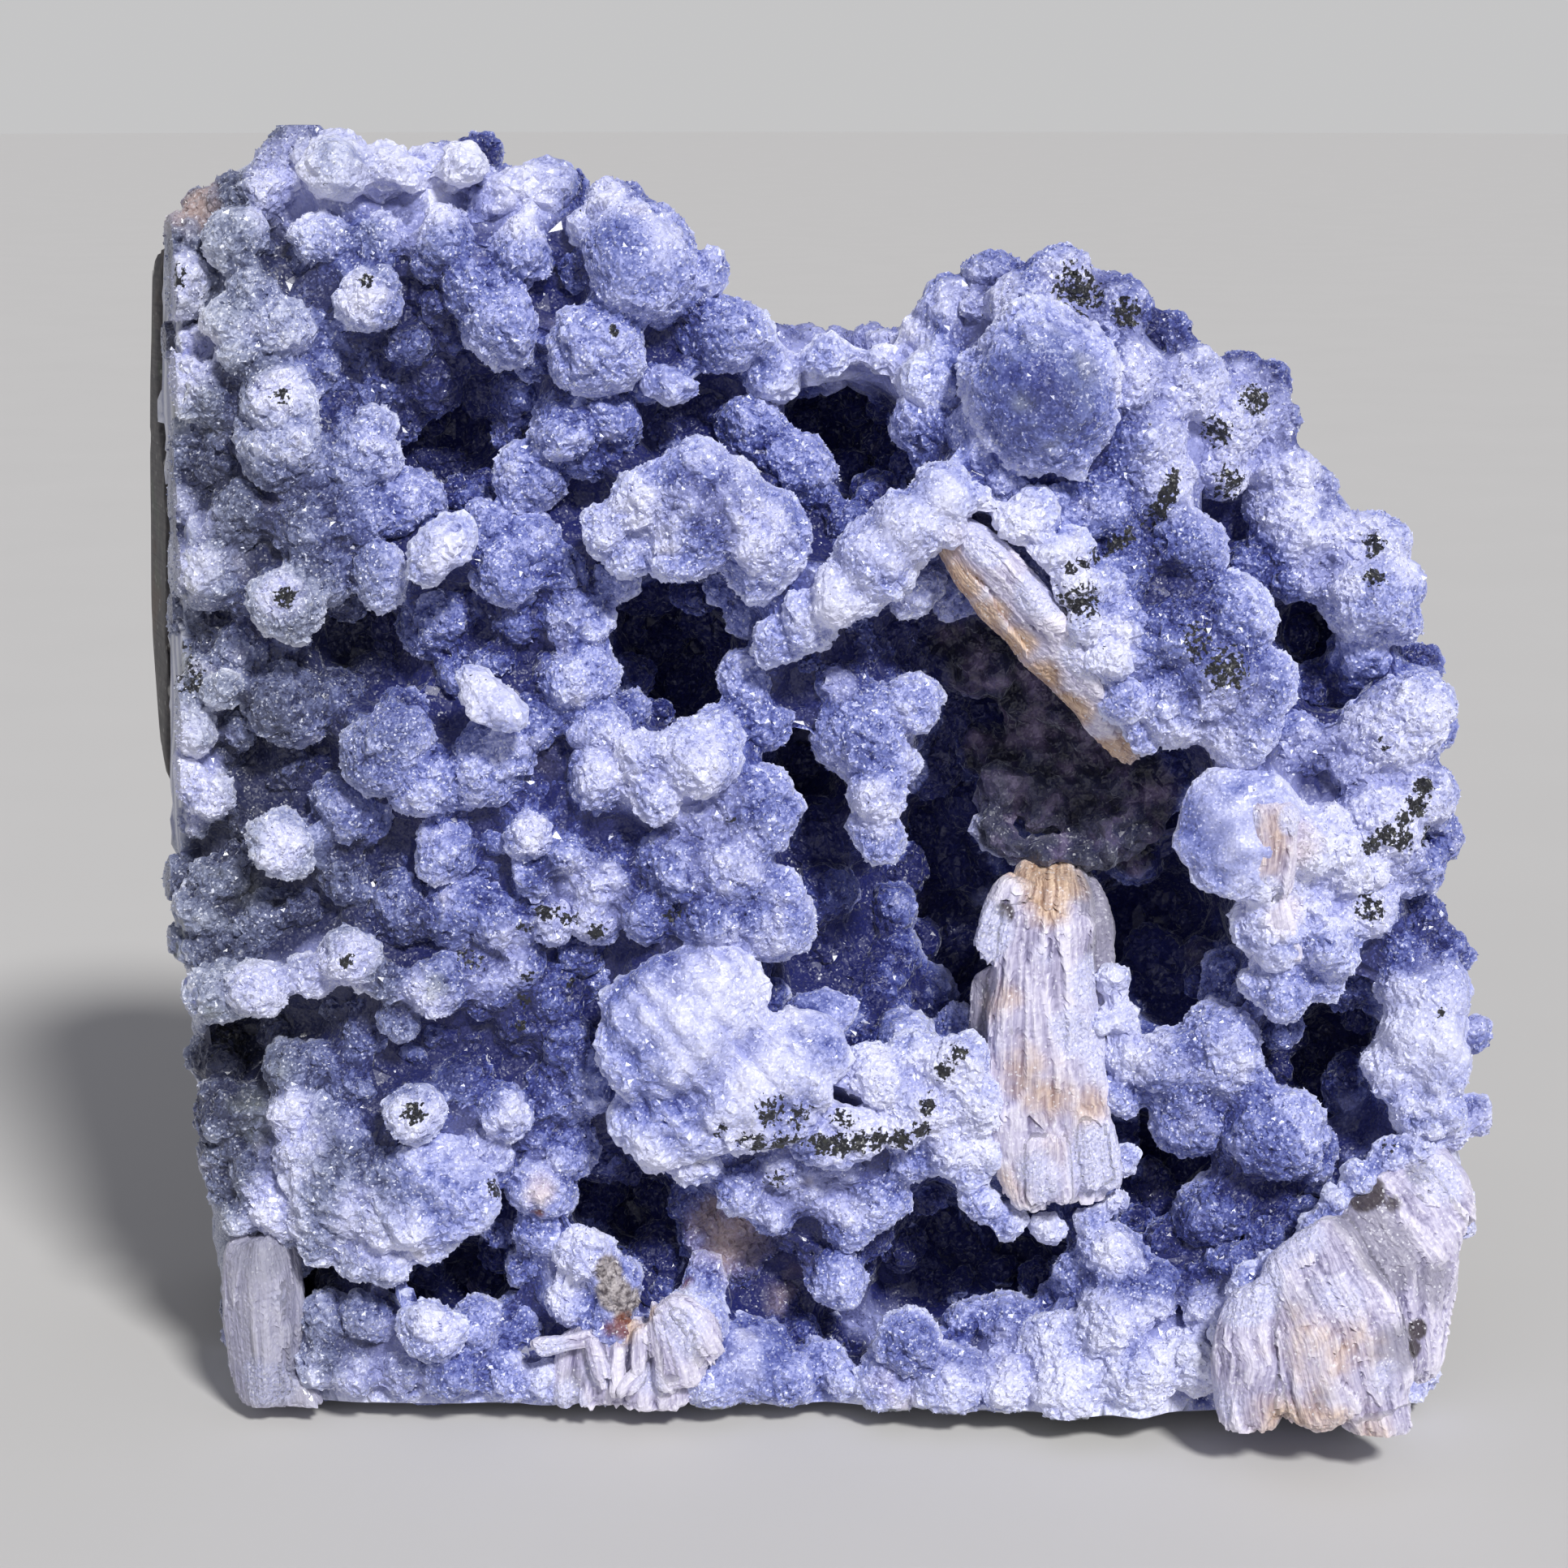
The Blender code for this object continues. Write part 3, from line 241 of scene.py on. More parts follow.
        (86, 143.5, 3, 3.5), (81, 141.5, 4, 3.2), (91, 146, 6, 4), (95, 149, 7, 4), (99, 147, 7, 4),
        (104, 149, 8, 4.5), (103, 143, 7, 4), (108, 147, 8, 4.5), (112, 143, 7, 4), (97, 142, 6, 4),
        (117, 141, 6, 3.5), (108, 133, 4, 4.5), (111, 137, 4, 5), (115, 136, 4, 4.5), (118, 131, 4, 4),
        (120, 136, 4, 4), (113, 130.5, 7, 4), (103, 157.5, 8, 4.6), (101, 153, 12, 3.6), (106, 152, 14, 4),
        (98, 151, 12, 4), (90, 155, 14, 5), (95, 160, 16, 5), (87, 152, 14, 4), (92, 167, 6, 6), (97, 170, 5, 4),
        (88, 170, 5, 4), (101, 168, 8, 3.5), (104, 170, 6, 3),
    ],
    "lower_left": [
        (27, 122, 6, 4), (32, 121.5, 4, 4), (38, 120, 5, 4), (43, 118, 3, 4.5), (25, 112, 11, 4), (27, 108, 12, 3.5),
        (33, 113, 11, 4.5), (38, 112, 12, 4), (46, 115, 10, 4), (50, 112, 9, 5), (57, 112, 8, 5), (62, 113, 7, 4.5),
        (68, 113, 7, 3.5), (54, 121.5, 5, 4.4), (48, 121, 6, 3), (49, 125.5, 7, 3), (60, 121, 8, 4.5),
        (64, 119, 8, 4), (64, 126, 9, 4), (68, 122, 9, 4.5), (70, 128, 9, 4), (58, 128, 11, 4), (36, 131.5, 9, 4),
        (40, 131, 9, 4), (45, 128, 9, 4), (44, 134, 8, 4.5), (36, 137, 7, 4), (38, 142, 6, 4.5), (32, 145, 8, 4),
        (30.4, 149.6, 9, 3.2), (33.8, 149.2, 7, 3), (51, 137, 1.5, 4.6), (62, 137, 5, 4), (57, 133, 7, 4),
        (43, 139, 6, 3.5), (46, 143, 5, 4.5), (53, 144, 4, 5), (59, 142, 6, 4.5), (40, 149, 5, 5), (47, 150, 3, 5),
        (54, 150, 3, 4.6), (35, 150, 8, 4), (39, 153.5, 5, 3), (44, 155, 4, 3), (48, 156, 3.5, 3.2), (53, 153, 4, 3),
        (66, 139, 9, 4), (69, 134, 8, 5), (73, 133, 8, 4.5), (70, 141, 9, 4.5), (67, 146, 7, 4.2), (66, 152, 8, 3.5),
        (65, 156, 10, 3), (40, 163, 8, 4), (46, 162, 7, 4), (53, 163.5, 2, 4.2), (59, 163, 6, 4), (64, 163, 9, 4),
        (40, 168, 6, 4), (44, 169, 5, 4), (50, 169, 5, 4), (56, 169, 4, 4), (62, 169, 5, 4), (68, 170, 5, 3.5),
        (74, 170, 6, 3.5),
    ],
    "broken_nodule": [
        (72, 154.5, 4, 4.5), (70, 160, 5, 4.2), (75, 162, 5, 4.5), (82, 164, 6, 4), (86, 162, 5, 4.2),
        (87, 157, 9, 3.5), (76, 158, 5, 4),
    ],
}

# Broad smooth growths: (across, down, depth of the face, half width, half height, half thickness, turn in degrees).
PLATES = {
    "grey_boss": [(128.5, 48, 3, 9.5, 11, 8, 0)],
    "small_leaves": [
        (83, 47.5, 12, 4.2, 2.3, 2, -10), (60.3, 85.7, 2, 5.6, 2.8, 2.6, -45), (54.3, 68.2, 4, 5, 3.4, 3, 45),
        (101, 124.3, 8, 5.8, 3.4, 3, 10),
    ],
    "striated_plate": [
        (84, 126, 0, 12.5, 9, 5, 38), (94, 133.5, 0, 12.5, 8, 5, 40), (84, 136.5, 1, 9, 7, 5, 10),
        (104, 139.5, 3, 8, 4.6, 4, 12),
    ],
    "clear_plate": [(152.8, 103, 2.6, 8.4, 9.2, 3.6, 0), (157, 113, 4.4, 5.6, 6, 3.4, 20)],
    "top_band": [(42, 20, 19, 6.5, 3.4, 3, -8), (52.5, 21.6, 19, 7, 3.6, 3, 4), (63.5, 24.4, 18.4, 6.5, 3.4, 3, 16)],
    "left_apron": [(42, 144, 4, 7.5, 10, 5, 0), (53, 147, 2, 9, 8, 5, 0)],
    "right_flange": [(177, 129, 4, 3.8, 13, 6, -6)],
}

# Pits between the lumps: (across, down, depth of the floor, radius).
HOLLOWS = [
    (56, 54, 34, 5), (53, 51, 28, 4), (67, 37.5, 26, 2.2), (23, 42, 24, 2), (104, 53, 42, 5.5), (101, 50, 39, 4),
    (107, 56.5, 40, 4), (76, 58, 28, 3.5), (45.5, 79, 32, 3.8), (84, 80, 40, 6.5), (80, 75.5, 36, 4), (87, 84, 38, 5),
    (99, 69, 22, 2), (113, 101, 46, 9), (122, 96, 44, 8), (100.5, 90, 42, 5), (97.5, 98, 42, 4), (131, 98, 42, 8),
    (104, 107, 42, 5), (116, 111, 46, 6), (143, 112, 42, 6.5), (138, 117, 44, 5), (107, 117, 40, 4),
    (119, 120, 42, 6), (114, 82, 28, 4.5), (117, 86, 32, 4), (124, 84, 32, 5), (133, 89, 34, 5), (139, 95, 34, 4),
    (128, 112, 44, 7), (127, 126, 32, 6), (166, 80.5, 40, 5), (162, 77, 34, 3), (152, 65, 26, 3), (164, 127, 36, 6),
    (160.5, 132, 32, 4), (139.5, 140.5, 34, 3), (146, 142.5, 30, 3), (159, 149, 24, 3), (168.5, 147, 20, 2),
    (118, 151, 34, 4.5), (126, 154, 36, 5), (131, 154.5, 30, 3), (110, 159, 30, 4), (116, 160, 28, 4),
    (105, 163, 24, 3), (99, 156, 26, 2.5), (75, 148, 32, 4), (80, 148.5, 32, 3.4), (81, 156.5, 20, 3.6),
    (38.5, 158, 32, 3.5), (57, 157.5, 36, 4.5), (50, 159, 28, 4), (63, 158, 24, 3), (61, 148, 18, 2),
    (31, 127, 26, 2.8), (38, 126, 20, 2.8), (49, 100, 22, 2), (31, 95, 20, 2.5), (52, 85, 20, 3), (62, 130, 16, 2.5),
]

# Where the crust differs: (across, down, radius, share), each a round patch about the surface at that reading.
PATCHES = {
    "pale": [
        (150, 53, 15, 1), (143, 45, 9, 0.8), (157, 60, 9, 0.9), (165, 68, 8, 0.8), (176, 128, 13, 1),
        (172, 92, 12, 1), (167, 106, 14, 1), (158, 112, 9, 0.8), (135, 165, 12, 0.6), (148, 168, 13, 1),
        (118, 172, 9, 0.5), (84, 98, 10, 0.7), (76, 94, 8, 0.6), (90, 106, 9, 0.6), (112, 44, 9, 1), (97, 44, 8, 1),
        (104, 41, 12, 1), (167, 92, 10, 0.8), (160, 98, 10, 0.8), (174, 100, 9, 0.9), (90, 126, 15, 0.9),
        (106, 137, 11, 0.8), (116, 134, 8, 1), (22, 96, 9, 1), (20, 44, 9, 1), (23, 66, 8, 0.5), (36, 22, 9, 0.9),
        (52, 21, 11, 1), (64, 23, 9, 0.9), (104, 42, 13, 0.9), (120, 37, 8, 0.8), (137, 123, 5, 1), (138, 128, 6, 1),
        (134, 128, 4, 1), (120, 139, 6, 0.9), (121.5, 112, 5, 1), (124, 64, 6, 0.9), (130, 70, 5, 0.9),
        (110, 67, 7, 0.7), (102, 74, 7, 0.8), (87, 60, 9, 0.5), (94, 66, 6, 0.8), (40, 122, 9, 0.9),
        (46, 152, 9, 0.7), (33, 150, 7, 0.8), (72, 112, 8, 0.8), (60, 141, 7, 0.6), (91, 168, 6, 0.4),
        (80, 143, 7, 0.7), (103, 147, 8, 0.6), (62, 23, 7, 0.8), (45, 21, 7, 0.7), (21.5, 34.5, 6, 0.9),
        (44, 35.5, 4.5, 0.9), (33.5, 47.6, 4.8, 0.9), (34.6, 73, 4.8, 0.9), (60.3, 85.7, 6, 1), (54.3, 68.2, 5, 0.7),
        (24, 92, 7, 0.6), (23, 69, 6, 0.6), (65.5, 103, 4.5, 0.9), (74, 110, 5, 0.9), (35, 104.5, 4.5, 0.9),
        (43, 118.5, 5.5, 1), (32, 121, 7, 0.9), (146, 47, 11, 0.8), (135, 37, 9, 0.7), (103, 84, 3.5, 0.9),
        (98.5, 91.5, 2.5, 0.9), (108, 100, 5, 0.9), (86, 94, 4, 0.6), (122, 116, 4, 0.8), (107, 163, 6, 0.9),
        (138.5, 154, 6, 0.8), (137, 164, 7, 0.9), (62, 119, 7, 0.5), (165, 137, 6, 0.6), (88, 124, 13, 0.55),
        (92, 136, 12, 0.6), (36, 140, 8, 0.8), (45, 155, 9, 0.6), (63.5, 137.5, 4, 1), (52, 124, 5, 0.8),
        (51, 137, 5, 0.8), (53.5, 163.5, 5, 0.9), (82, 163, 8, 0.7), (72, 155, 5, 0.8), (150, 90, 12, 0.5),
        (172, 88, 9, 0.6), (165, 105, 12, 0.6), (150, 131, 8, 0.4), (128, 172, 14, 0.7), (116, 63, 6, 0.6),
        (104, 73, 7, 0.45), (79, 64, 7, 0.6), (93, 68, 5, 0.6), (160, 60, 9, 0.6), (152.5, 102.5, 10, 0.5),
        (118, 133, 6, 0.7), (95, 146, 8, 0.5), (157, 118, 6, 0.6), (45, 170, 12, 0.5), (70, 168, 8, 0.6),
        (83, 29, 6, 0.5), (74, 24, 6, 0.6), (88, 91, 5, 0.5), (172, 68, 6, 0.6), (28, 165, 6, 0.6), (66, 146, 6, 0.6),
        (180, 146, 16, 1), (177, 158, 16, 1), (175, 168, 14, 1), (160, 172, 14, 1), (70, 153, 5, 1),
        (68.5, 158, 5, 1), (72.5, 151.5, 4.5, 1), (84, 163, 5, 0.9), (119.5, 140, 7, 1), (139, 128, 7, 1),
        (137, 147, 6, 0.9), (129, 151, 6, 0.8), (125, 66, 6, 1), (131, 72, 6, 1), (136, 80, 6, 1),
    ],
    # deep: darker blue zones of the crust, and painted shade in the gaps between lumps.
    "deep": [
        (52, 34, 9, 0.8), (51, 41, 8, 0.9), (56, 47, 8, 0.9), (58, 27, 5, 0.5), (68, 48, 6, 0.6), (71, 60, 6, 0.7),
        (28, 57, 6, 0.7), (34, 63, 8, 0.8), (29, 74, 7, 0.8), (43, 66, 8, 0.6), (40, 80, 9, 0.9), (34, 88, 8, 0.9),
        (48, 86, 8, 0.8), (44, 96, 8, 0.8), (55, 90, 7, 0.6), (65, 82, 8, 0.7), (73, 72, 6, 0.7), (67, 93, 7, 0.5),
        (46, 104, 6, 0.7), (40, 113, 8, 0.5), (60, 128, 9, 0.7), (28, 134, 8, 0.9), (31, 143, 6, 0.5),
        (52, 115, 6, 0.5), (94, 48, 6, 0.6), (86, 50, 6, 0.5), (128, 49, 11, 1), (30, 100, 9, 0.5), (36, 98, 8, 0.5),
        (28, 92, 6, 0.4), (48, 76, 8, 0.5), (58, 66, 8, 0.4), (145, 72, 9, 0.8), (152, 84, 9, 0.8), (139, 67, 6, 0.6),
        (147, 78, 8, 0.7), (33, 30, 8, 0.5), (30, 50, 8, 0.4), (24, 60, 8, 0.4), (60, 72, 8, 0.5), (40, 92, 8, 0.5),
        (112, 166, 8, 0.5), (122, 166, 7, 0.4), (143, 150, 8, 0.5), (74, 30, 7, 0.4), (86, 42, 6, 0.4),
        (163, 70, 6, 0.4), (164, 127, 9, 0.9), (142, 132, 8, 0.6), (150, 138, 9, 0.6), (155, 145, 8, 0.6),
        (140, 146, 8, 0.6), (130, 148, 6, 0.6), (108, 118, 8, 0.7), (102, 108, 8, 0.8), (46, 168, 9, 0.6),
        (56, 168, 8, 0.6), (92, 167, 9, 0.6), (78, 168, 6, 0.4), (110, 154, 9, 0.6), (98, 153, 8, 0.6),
        (88, 80, 9, 0.5), (105, 82, 5, 0.6), (106, 92, 5, 0.5), (135, 160, 5, 0.5), (88, 63, 5, 0.6),
        (84, 60, 4, 0.6), (92, 98, 5, 0.4),
    ],
    "speck": [
        (45.2, 34.6, 1.5, 1), (34.5, 48.5, 1.9, 0.9), (35.2, 73.5, 2.1, 1), (75.7, 40.5, 1.3, 1),
        (133, 35.5, 4.5, 0.8), (139, 38.5, 3, 0.8), (150, 53, 3, 0.8), (155, 49, 3.5, 0.8), (151.5, 59.5, 3.5, 0.8),
        (145, 58.5, 1.7, 1), (144.4, 60.2, 1.7, 1), (143.6, 61.6, 1.8, 1), (142.6, 62.9, 1.8, 1),
        (141.4, 64.1, 1.8, 1), (140.2, 65.1, 1.7, 1), (138.9, 66, 1.7, 1), (137.6, 66.8, 1.6, 1),
        (136.2, 67.6, 1.6, 1), (134.8, 68.4, 1.5, 1), (133.4, 69.2, 1.4, 1), (132, 70, 1.3, 1), (133, 74, 4, 0.8),
        (131.5, 78, 3, 0.7), (151.5, 82.5, 4.5, 0.8), (147, 79, 3.5, 0.7), (169, 67, 2.5, 0.9), (169.5, 71, 2, 0.9),
        (170.3, 92, 2, 1), (175.5, 97, 2, 1), (174.5, 99.5, 2, 1), (173.3, 101.2, 2, 1), (171, 103, 2.2, 1),
        (169, 104.3, 2, 1), (173, 103.6, 2, 1), (175.5, 103, 2, 1), (169, 112, 3, 0.8), (157.5, 110.7, 1.3, 1),
        (178, 125, 1.5, 1), (142, 125.2, 1.6, 1), (89, 138.5, 2.3, 1), (91, 139.7, 2.3, 1), (93.5, 140.4, 2.5, 1),
        (96, 141, 2.5, 1), (98.5, 141.2, 2.5, 1), (101, 141.3, 2.5, 1), (103.6, 141.2, 2.4, 1), (106, 140.9, 2.4, 1),
        (108.6, 140.6, 2.3, 1), (111, 140.3, 2.3, 1), (113.4, 139, 2, 1), (114.3, 136.5, 1.8, 1),
        (114.8, 134, 1.7, 1), (116.3, 131.8, 1.8, 1), (118.2, 129.8, 1.8, 1), (95, 137, 3, 0.8), (99, 138, 3, 0.8),
        (104, 137.6, 3, 0.8), (64.6, 114.5, 1.4, 1), (65, 117.5, 1.3, 1), (65.2, 120.5, 1.4, 1),
        (64.6, 123.5, 1.5, 1), (64, 126.4, 1.6, 1), (67, 112, 2.8, 0.9), (70, 113, 2, 1), (73.5, 115, 2, 0.9),
        (51, 137.2, 2.2, 1), (42.6, 118.4, 1.4, 1), (71.2, 121.5, 1.9, 1), (74, 128.7, 1.7, 1), (168, 146.8, 3.4, 1),
        (171, 140.5, 2.2, 0.9), (173.5, 160, 1.4, 1), (18.6, 51.5, 3.4, 1), (21.3, 82, 4, 0.9), (24, 84, 3, 0.7),
        (21, 34.2, 2.6, 0.8), (37, 94, 2, 0.7), (76, 152, 4, 0.6), (96, 145, 2.5, 0.7), (28, 129, 5, 0.8),
        (61, 146.5, 2, 0.8), (36.5, 156.5, 2.5, 0.8), (152, 167, 2.4, 0.7), (90, 101, 1.6, 0.6), (117, 128, 1.6, 0.8),
        (83, 113, 2.5, 0.6), (58, 118, 3, 0.6),
    ],
    "rock": [
        (121, 82, 7, 0.9), (127, 86, 9, 1), (134, 91, 9, 1), (139, 98, 8, 1), (131, 101, 11, 1), (124, 95, 10, 1),
        (129, 103.6, 7, 1), (135, 103, 7, 1), (124, 101, 6, 1), (140, 100, 7, 1), (140, 105, 7, 1),
        (134, 107, 7, 0.9), (117, 79, 4, 0.6),
    ],
    "moss": [
        (33, 131, 6, 0.6), (31, 137, 6, 0.5), (54, 121.5, 3, 0.8), (21.5, 36, 5, 0.5), (26, 124, 2.5, 0.9),
        (128, 48, 11, 0.5), (26, 34, 10, 0.35), (22, 50, 8, 0.45), (24, 66, 10, 0.3), (28, 110, 9, 0.3),
        (45, 166, 5, 0.3), (148, 166, 5, 0.4), (140, 41, 5, 0.3), (168, 103, 6, 0.25), (35, 163, 6, 0.3),
    ],
    "peach": [
        (24, 26.5, 6, 0.9), (90, 153, 8, 0.7), (96, 158, 5, 0.4), (159.5, 103, 5.5, 0.8), (66.5, 147, 3.6, 0.7),
        (157, 170, 7, 0.5), (87, 166, 3, 0.4), (158, 113, 5, 0.5), (119, 66, 4, 0.4), (110, 172, 6, 0.3),
    ],
    "sand": [(75.2, 156.6, 2.6, 1), (75.6, 159.4, 3, 1), (77.8, 161, 3, 1), (80.6, 161, 2.6, 1)],
    "rust": [
        (77, 163.4, 2.4, 1), (80, 163.2, 2.4, 1), (82.4, 161.8, 1.8, 0.9), (66.5, 149, 1.6, 0.9),
        (75, 163.8, 1.6, 0.7), (84.5, 158, 1.8, 0.6),
    ],
    "smooth": [
        (128.5, 48, 10, 0.75), (152.5, 102, 11, 0.95), (84, 126, 12, 0.7), (94, 133, 10, 0.6), (116, 62, 5, 0.6),
        (110, 67, 6, 0.6), (103, 74, 6, 0.6), (60.3, 85.7, 6, 0.6), (101, 124.3, 6, 0.8), (177, 128, 12, 0.6),
        (54, 132, 5, 0.7), (92, 167, 7, 0.6), (79, 31, 8, 0.5),
    ],
}


def place(rows):
    """Points in millimetres for rows of (across, down, depth)."""
    across, down, depth = np.asarray(rows, float).reshape(-1, 3).T
    side, rise = across - FRAME_MIDDLE, FRAME_MIDDLE - down
    cos, sin = math.cos(EYE_PITCH), math.sin(EYE_PITCH)
    ray = np.stack([side, EYE_REACH * cos + rise * sin, rise * cos - EYE_REACH * sin], axis=1)
    return EYE + ray * ((EYE_REACH * cos + depth) / ray[:, 1])[:, None]


def read_off(points):
    """Across, down and depth of points, the way back from place."""
    gone = points - EYE
    cos, sin = math.cos(EYE_PITCH), math.sin(EYE_PITCH)
    slope = gone[:, 2] / gone[:, 1]
    rise = EYE_REACH * (slope * cos + sin) / (cos - slope * sin)
    travel = gone[:, 1] / (EYE_REACH * cos + rise * sin)
    return FRAME_MIDDLE + gone[:, 0] / travel, FRAME_MIDDLE - rise, gone[:, 1] - EYE_REACH * cos


def swell(depth):
    """How much wider a thing at this depth is than it reads."""
    return (EYE_REACH + depth) / EYE_REACH


STEPS = np.arange(0.0, MAP_SPAN, MAP_STEP)
MAP_DOWN, MAP_ACROSS = np.meshgrid(STEPS, STEPS, indexing="ij")


def relief():
    """Depth of the ground between the lumps and depth of the front itself, over the reading frame."""
    across, down = MAP_ACROSS, MAP_DOWN
    lumps = [row for rows in LUMPS.values() for row in rows]
    plates = [row for rows in PLATES.values() for row in rows]
    total, weights = np.zeros_like(across), np.zeros_like(across)
    soundings = [(a, d, face + GROUND_SHARE * r + GROUND_DROP, r) for a, d, face, r in lumps]
    soundings += [(a, d, face + deep, 0.8 * min(w, h)) for a, d, face, w, h, deep, _ in plates]
    for a, d, depth, r in soundings + HOLLOWS:
        near = r * r / ((across - a) ** 2 + (down - d) ** 2 + (0.5 * r) ** 2) ** 2
        total += near * depth
        weights += near
    ground = total / weights
    front = ground.copy()
    for a, d, face, r in lumps:
        span = r * r - (across - a) ** 2 - (down - d) ** 2
        front = np.where(span > 0, np.minimum(front, face + r - np.sqrt(np.maximum(span, 0))), front)
    for a, d, face, w, h, deep, turn in plates:
        cos, sin = math.cos(math.radians(turn)), math.sin(math.radians(turn))
        u = ((across - a) * cos + (down - d) * sin) / w
        v = ((down - d) * cos - (across - a) * sin) / h
        span = 1 - u * u - v * v
        front = np.where(span > 0, np.minimum(front, face + deep - deep * np.sqrt(np.maximum(span, 0))), front)
    return ground, front


def blurred(grid, radius):
    """A map softened with a bell of this radius in millimetres."""
    reach = int(3 * radius / MAP_STEP)
    bell = np.exp(-0.5 * (np.arange(-reach, reach + 1) * MAP_STEP / radius) ** 2)
    bell /= bell.sum()
    for axis in (0, 1):
        padded = np.pad(grid, [(reach, reach) if axis == i else (0, 0) for i in (0, 1)], mode="edge")
        grid = np.apply_along_axis(lambda line: np.convolve(line, bell, mode="valid"), axis, padded)
    return grid


GROUND, FRONT = relief()
FRONT_WIDE = blurred(FRONT, 8.0)
FRONT_LEVEL = blurred(FRONT, 26.0)


def sampled(grid, across, down):
    """Values of a map at readings, blended between its points."""
    x = np.clip(across / MAP_STEP, 0, grid.shape[1] - 1.001)
    y = np.clip(down / MAP_STEP, 0, grid.shape[0] - 1.001)
    i, j = x.astype(int), y.astype(int)
    u, v = x - i, y - j
    upper = grid[j, i] * (1 - u) + grid[j, i + 1] * u
    lower = grid[j + 1, i] * (1 - u) + grid[j + 1, i + 1] * u
    return upper * (1 - v) + lower * v


def sounding(grid, across, down):
    """The value of a map at one reading."""
    return sampled(grid, np.array([across]), np.array([down]))[0]


def cells(points, size, seed):
    """Distance to the nearest of scattered sites, one to a cube of this size, in cubes, and that site's own number."""
    rng = np.random.default_rng(seed)
    sites, picks = rng.random((32, 32, 32, 3)), rng.uniform(-0.5, 0.5, (32, 32, 32))
    scaled = points / size
    cube = np.floor(scaled).astype(int)
    inside = scaled - cube
    nearest, pick = np.full(len(points), 9.0), np.zeros(len(points))
    for step in itertools.product((-1, 0, 1), repeat=3):
        x, y, z = ((cube + step) % 32).T
        gap = ((sites[x, y, z] + step - inside) ** 2).sum(axis=1)
        pick = np.where(gap < nearest, picks[x, y, z], pick)
        nearest = np.minimum(nearest, gap)
    return np.sqrt(nearest), pick


def ripple(points, size, seed):
    """Smooth random waves of this size, from -1 to 1."""
    heights = np.random.default_rng(seed).uniform(-1, 1, (32, 32, 32))
    scaled = points / size
    cube = np.floor(scaled).astype(int)
    inside = scaled - cube
    soft = inside * inside * (3 - 2 * inside)
    total = np.zeros(len(points))
    for step in itertools.product((0, 1), repeat=3):
        index = (cube + step) % 32
        share = np.prod(np.where(np.array(step) == 1, soft, 1 - soft), axis=1)
        total += share * heights[index[:, 0], index[:, 1], index[:, 2]]
    return total


def patched(points, patches):
    """How far each point lies in any of these patches, from 0 to 1."""
    total = np.zeros(len(points))
    for across, down, radius, share in patches:
        centre = place([(across, down, sounding(FRONT, across, down))])[0]
        near = np.nonzero(np.abs(points - centre).max(axis=1) < radius)[0]
        gap = ((points[near] - centre) ** 2).sum(axis=1) / radius ** 2
        total[near] = np.maximum(total[near], share * np.clip(1 - gap, 0, 1))
    return total


def cut_planes():
    """A point and the way it faces, for the sawn flank and for the undercut."""
    turn = Matrix.Rotation(FLANK_FLARE, 4, "Z") @ Matrix.Rotation(FLANK_LEAN, 4, "Y")
    foot = np.array([0, FRAME_FORWARD + FOOT_DEPTH, 0])
    below = np.array([0, -math.sin(UNDERCUT_SLOPE), -math.cos(UNDERCUT_SLOPE)])
    return (place([FLANK_POINT])[0], np.array(turn @ Vector((-1, 0, 0)))), (foot, below)


def sawn(points, normals):
    """1 where a point lies on the sawn flank, the undercut or the base, else 0."""
    cut = (points[:, 2] < 0.4) & (normals[:, 2] < -CUT_FACING)
    for point, facing in cut_planes():
        cut |= (np.abs((points - point) @ facing) < CUT_REACH) & (normals @ facing > CUT_FACING)
    return cut.astype(float)


def skin_tree():
    """The outer skin of the crust and the basalt, without the faces where they meet."""
    meshes = [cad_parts[name].data for name in ("chalcedony_crust", "basalt_matrix")]
    trees = [BVHTree.FromPolygons([v.co for v in m.vertices], [p.vertices for p in m.polygons]) for m in meshes]
    points, faces = [], []
    for mesh, other in zip(meshes, reversed(trees)):
        free = [p for p in mesh.polygons if other.find_nearest(p.center)[3] > SEAM_WIDTH * MM]
        faces += [[len(points) + v for v in p.vertices] for p in free]
        points += [v.co.copy() for v in mesh.vertices]
    return BVHTree.FromPolygons(points, faces)


def inside_map():
    """How deep the points of a coarse grid lie under the outer skin, in millimetres, and where the grid starts."""
    tree = skin_tree()
    low = np.array(cad_box[0]) / MM - INSIDE_STEP
    counts = np.ceil((np.array(cad_box[1]) / MM + INSIDE_STEP - low) / INSIDE_STEP).astype(int) + 1
    depths = np.zeros(counts)
    for index in np.ndindex(*counts):
        point = Vector((low + np.array(index) * INSIDE_STEP) * MM)
        nearest, normal, _, gap = tree.find_nearest(point)
        depths[index] = math.copysign(gap / MM, (nearest - point).dot(normal))
    return depths, low


INSIDE, INSIDE_LOW = inside_map()


def buried(points):
    """How deep points lie under the outer skin of the block, in millimetres."""
    scaled = np.clip((points - INSIDE_LOW) / INSIDE_STEP, 0, np.array(INSIDE.shape) - 1.001)
    cube = scaled.astype(int)
    inside = scaled - cube
    total = np.zeros(len(points))
    for step in itertools.product((0, 1), repeat=3):
        index = cube + step
        total += np.prod(np.where(np.array(step) == 1, inside, 1 - inside), axis=1) * INSIDE[tuple(index.T)]
    return total


def points_of(obj):
    """The vertices of a piece in millimetres and the directions they face."""
    count = len(obj.data.vertices)
    points, normals = np.empty(count * 3), np.empty(count * 3)
    obj.data.vertices.foreach_get("co", points)
    obj.data.vertex_normals.foreach_get("vector", normals)
    return points.reshape(-1, 3) / MM, normals.reshape(-1, 3)


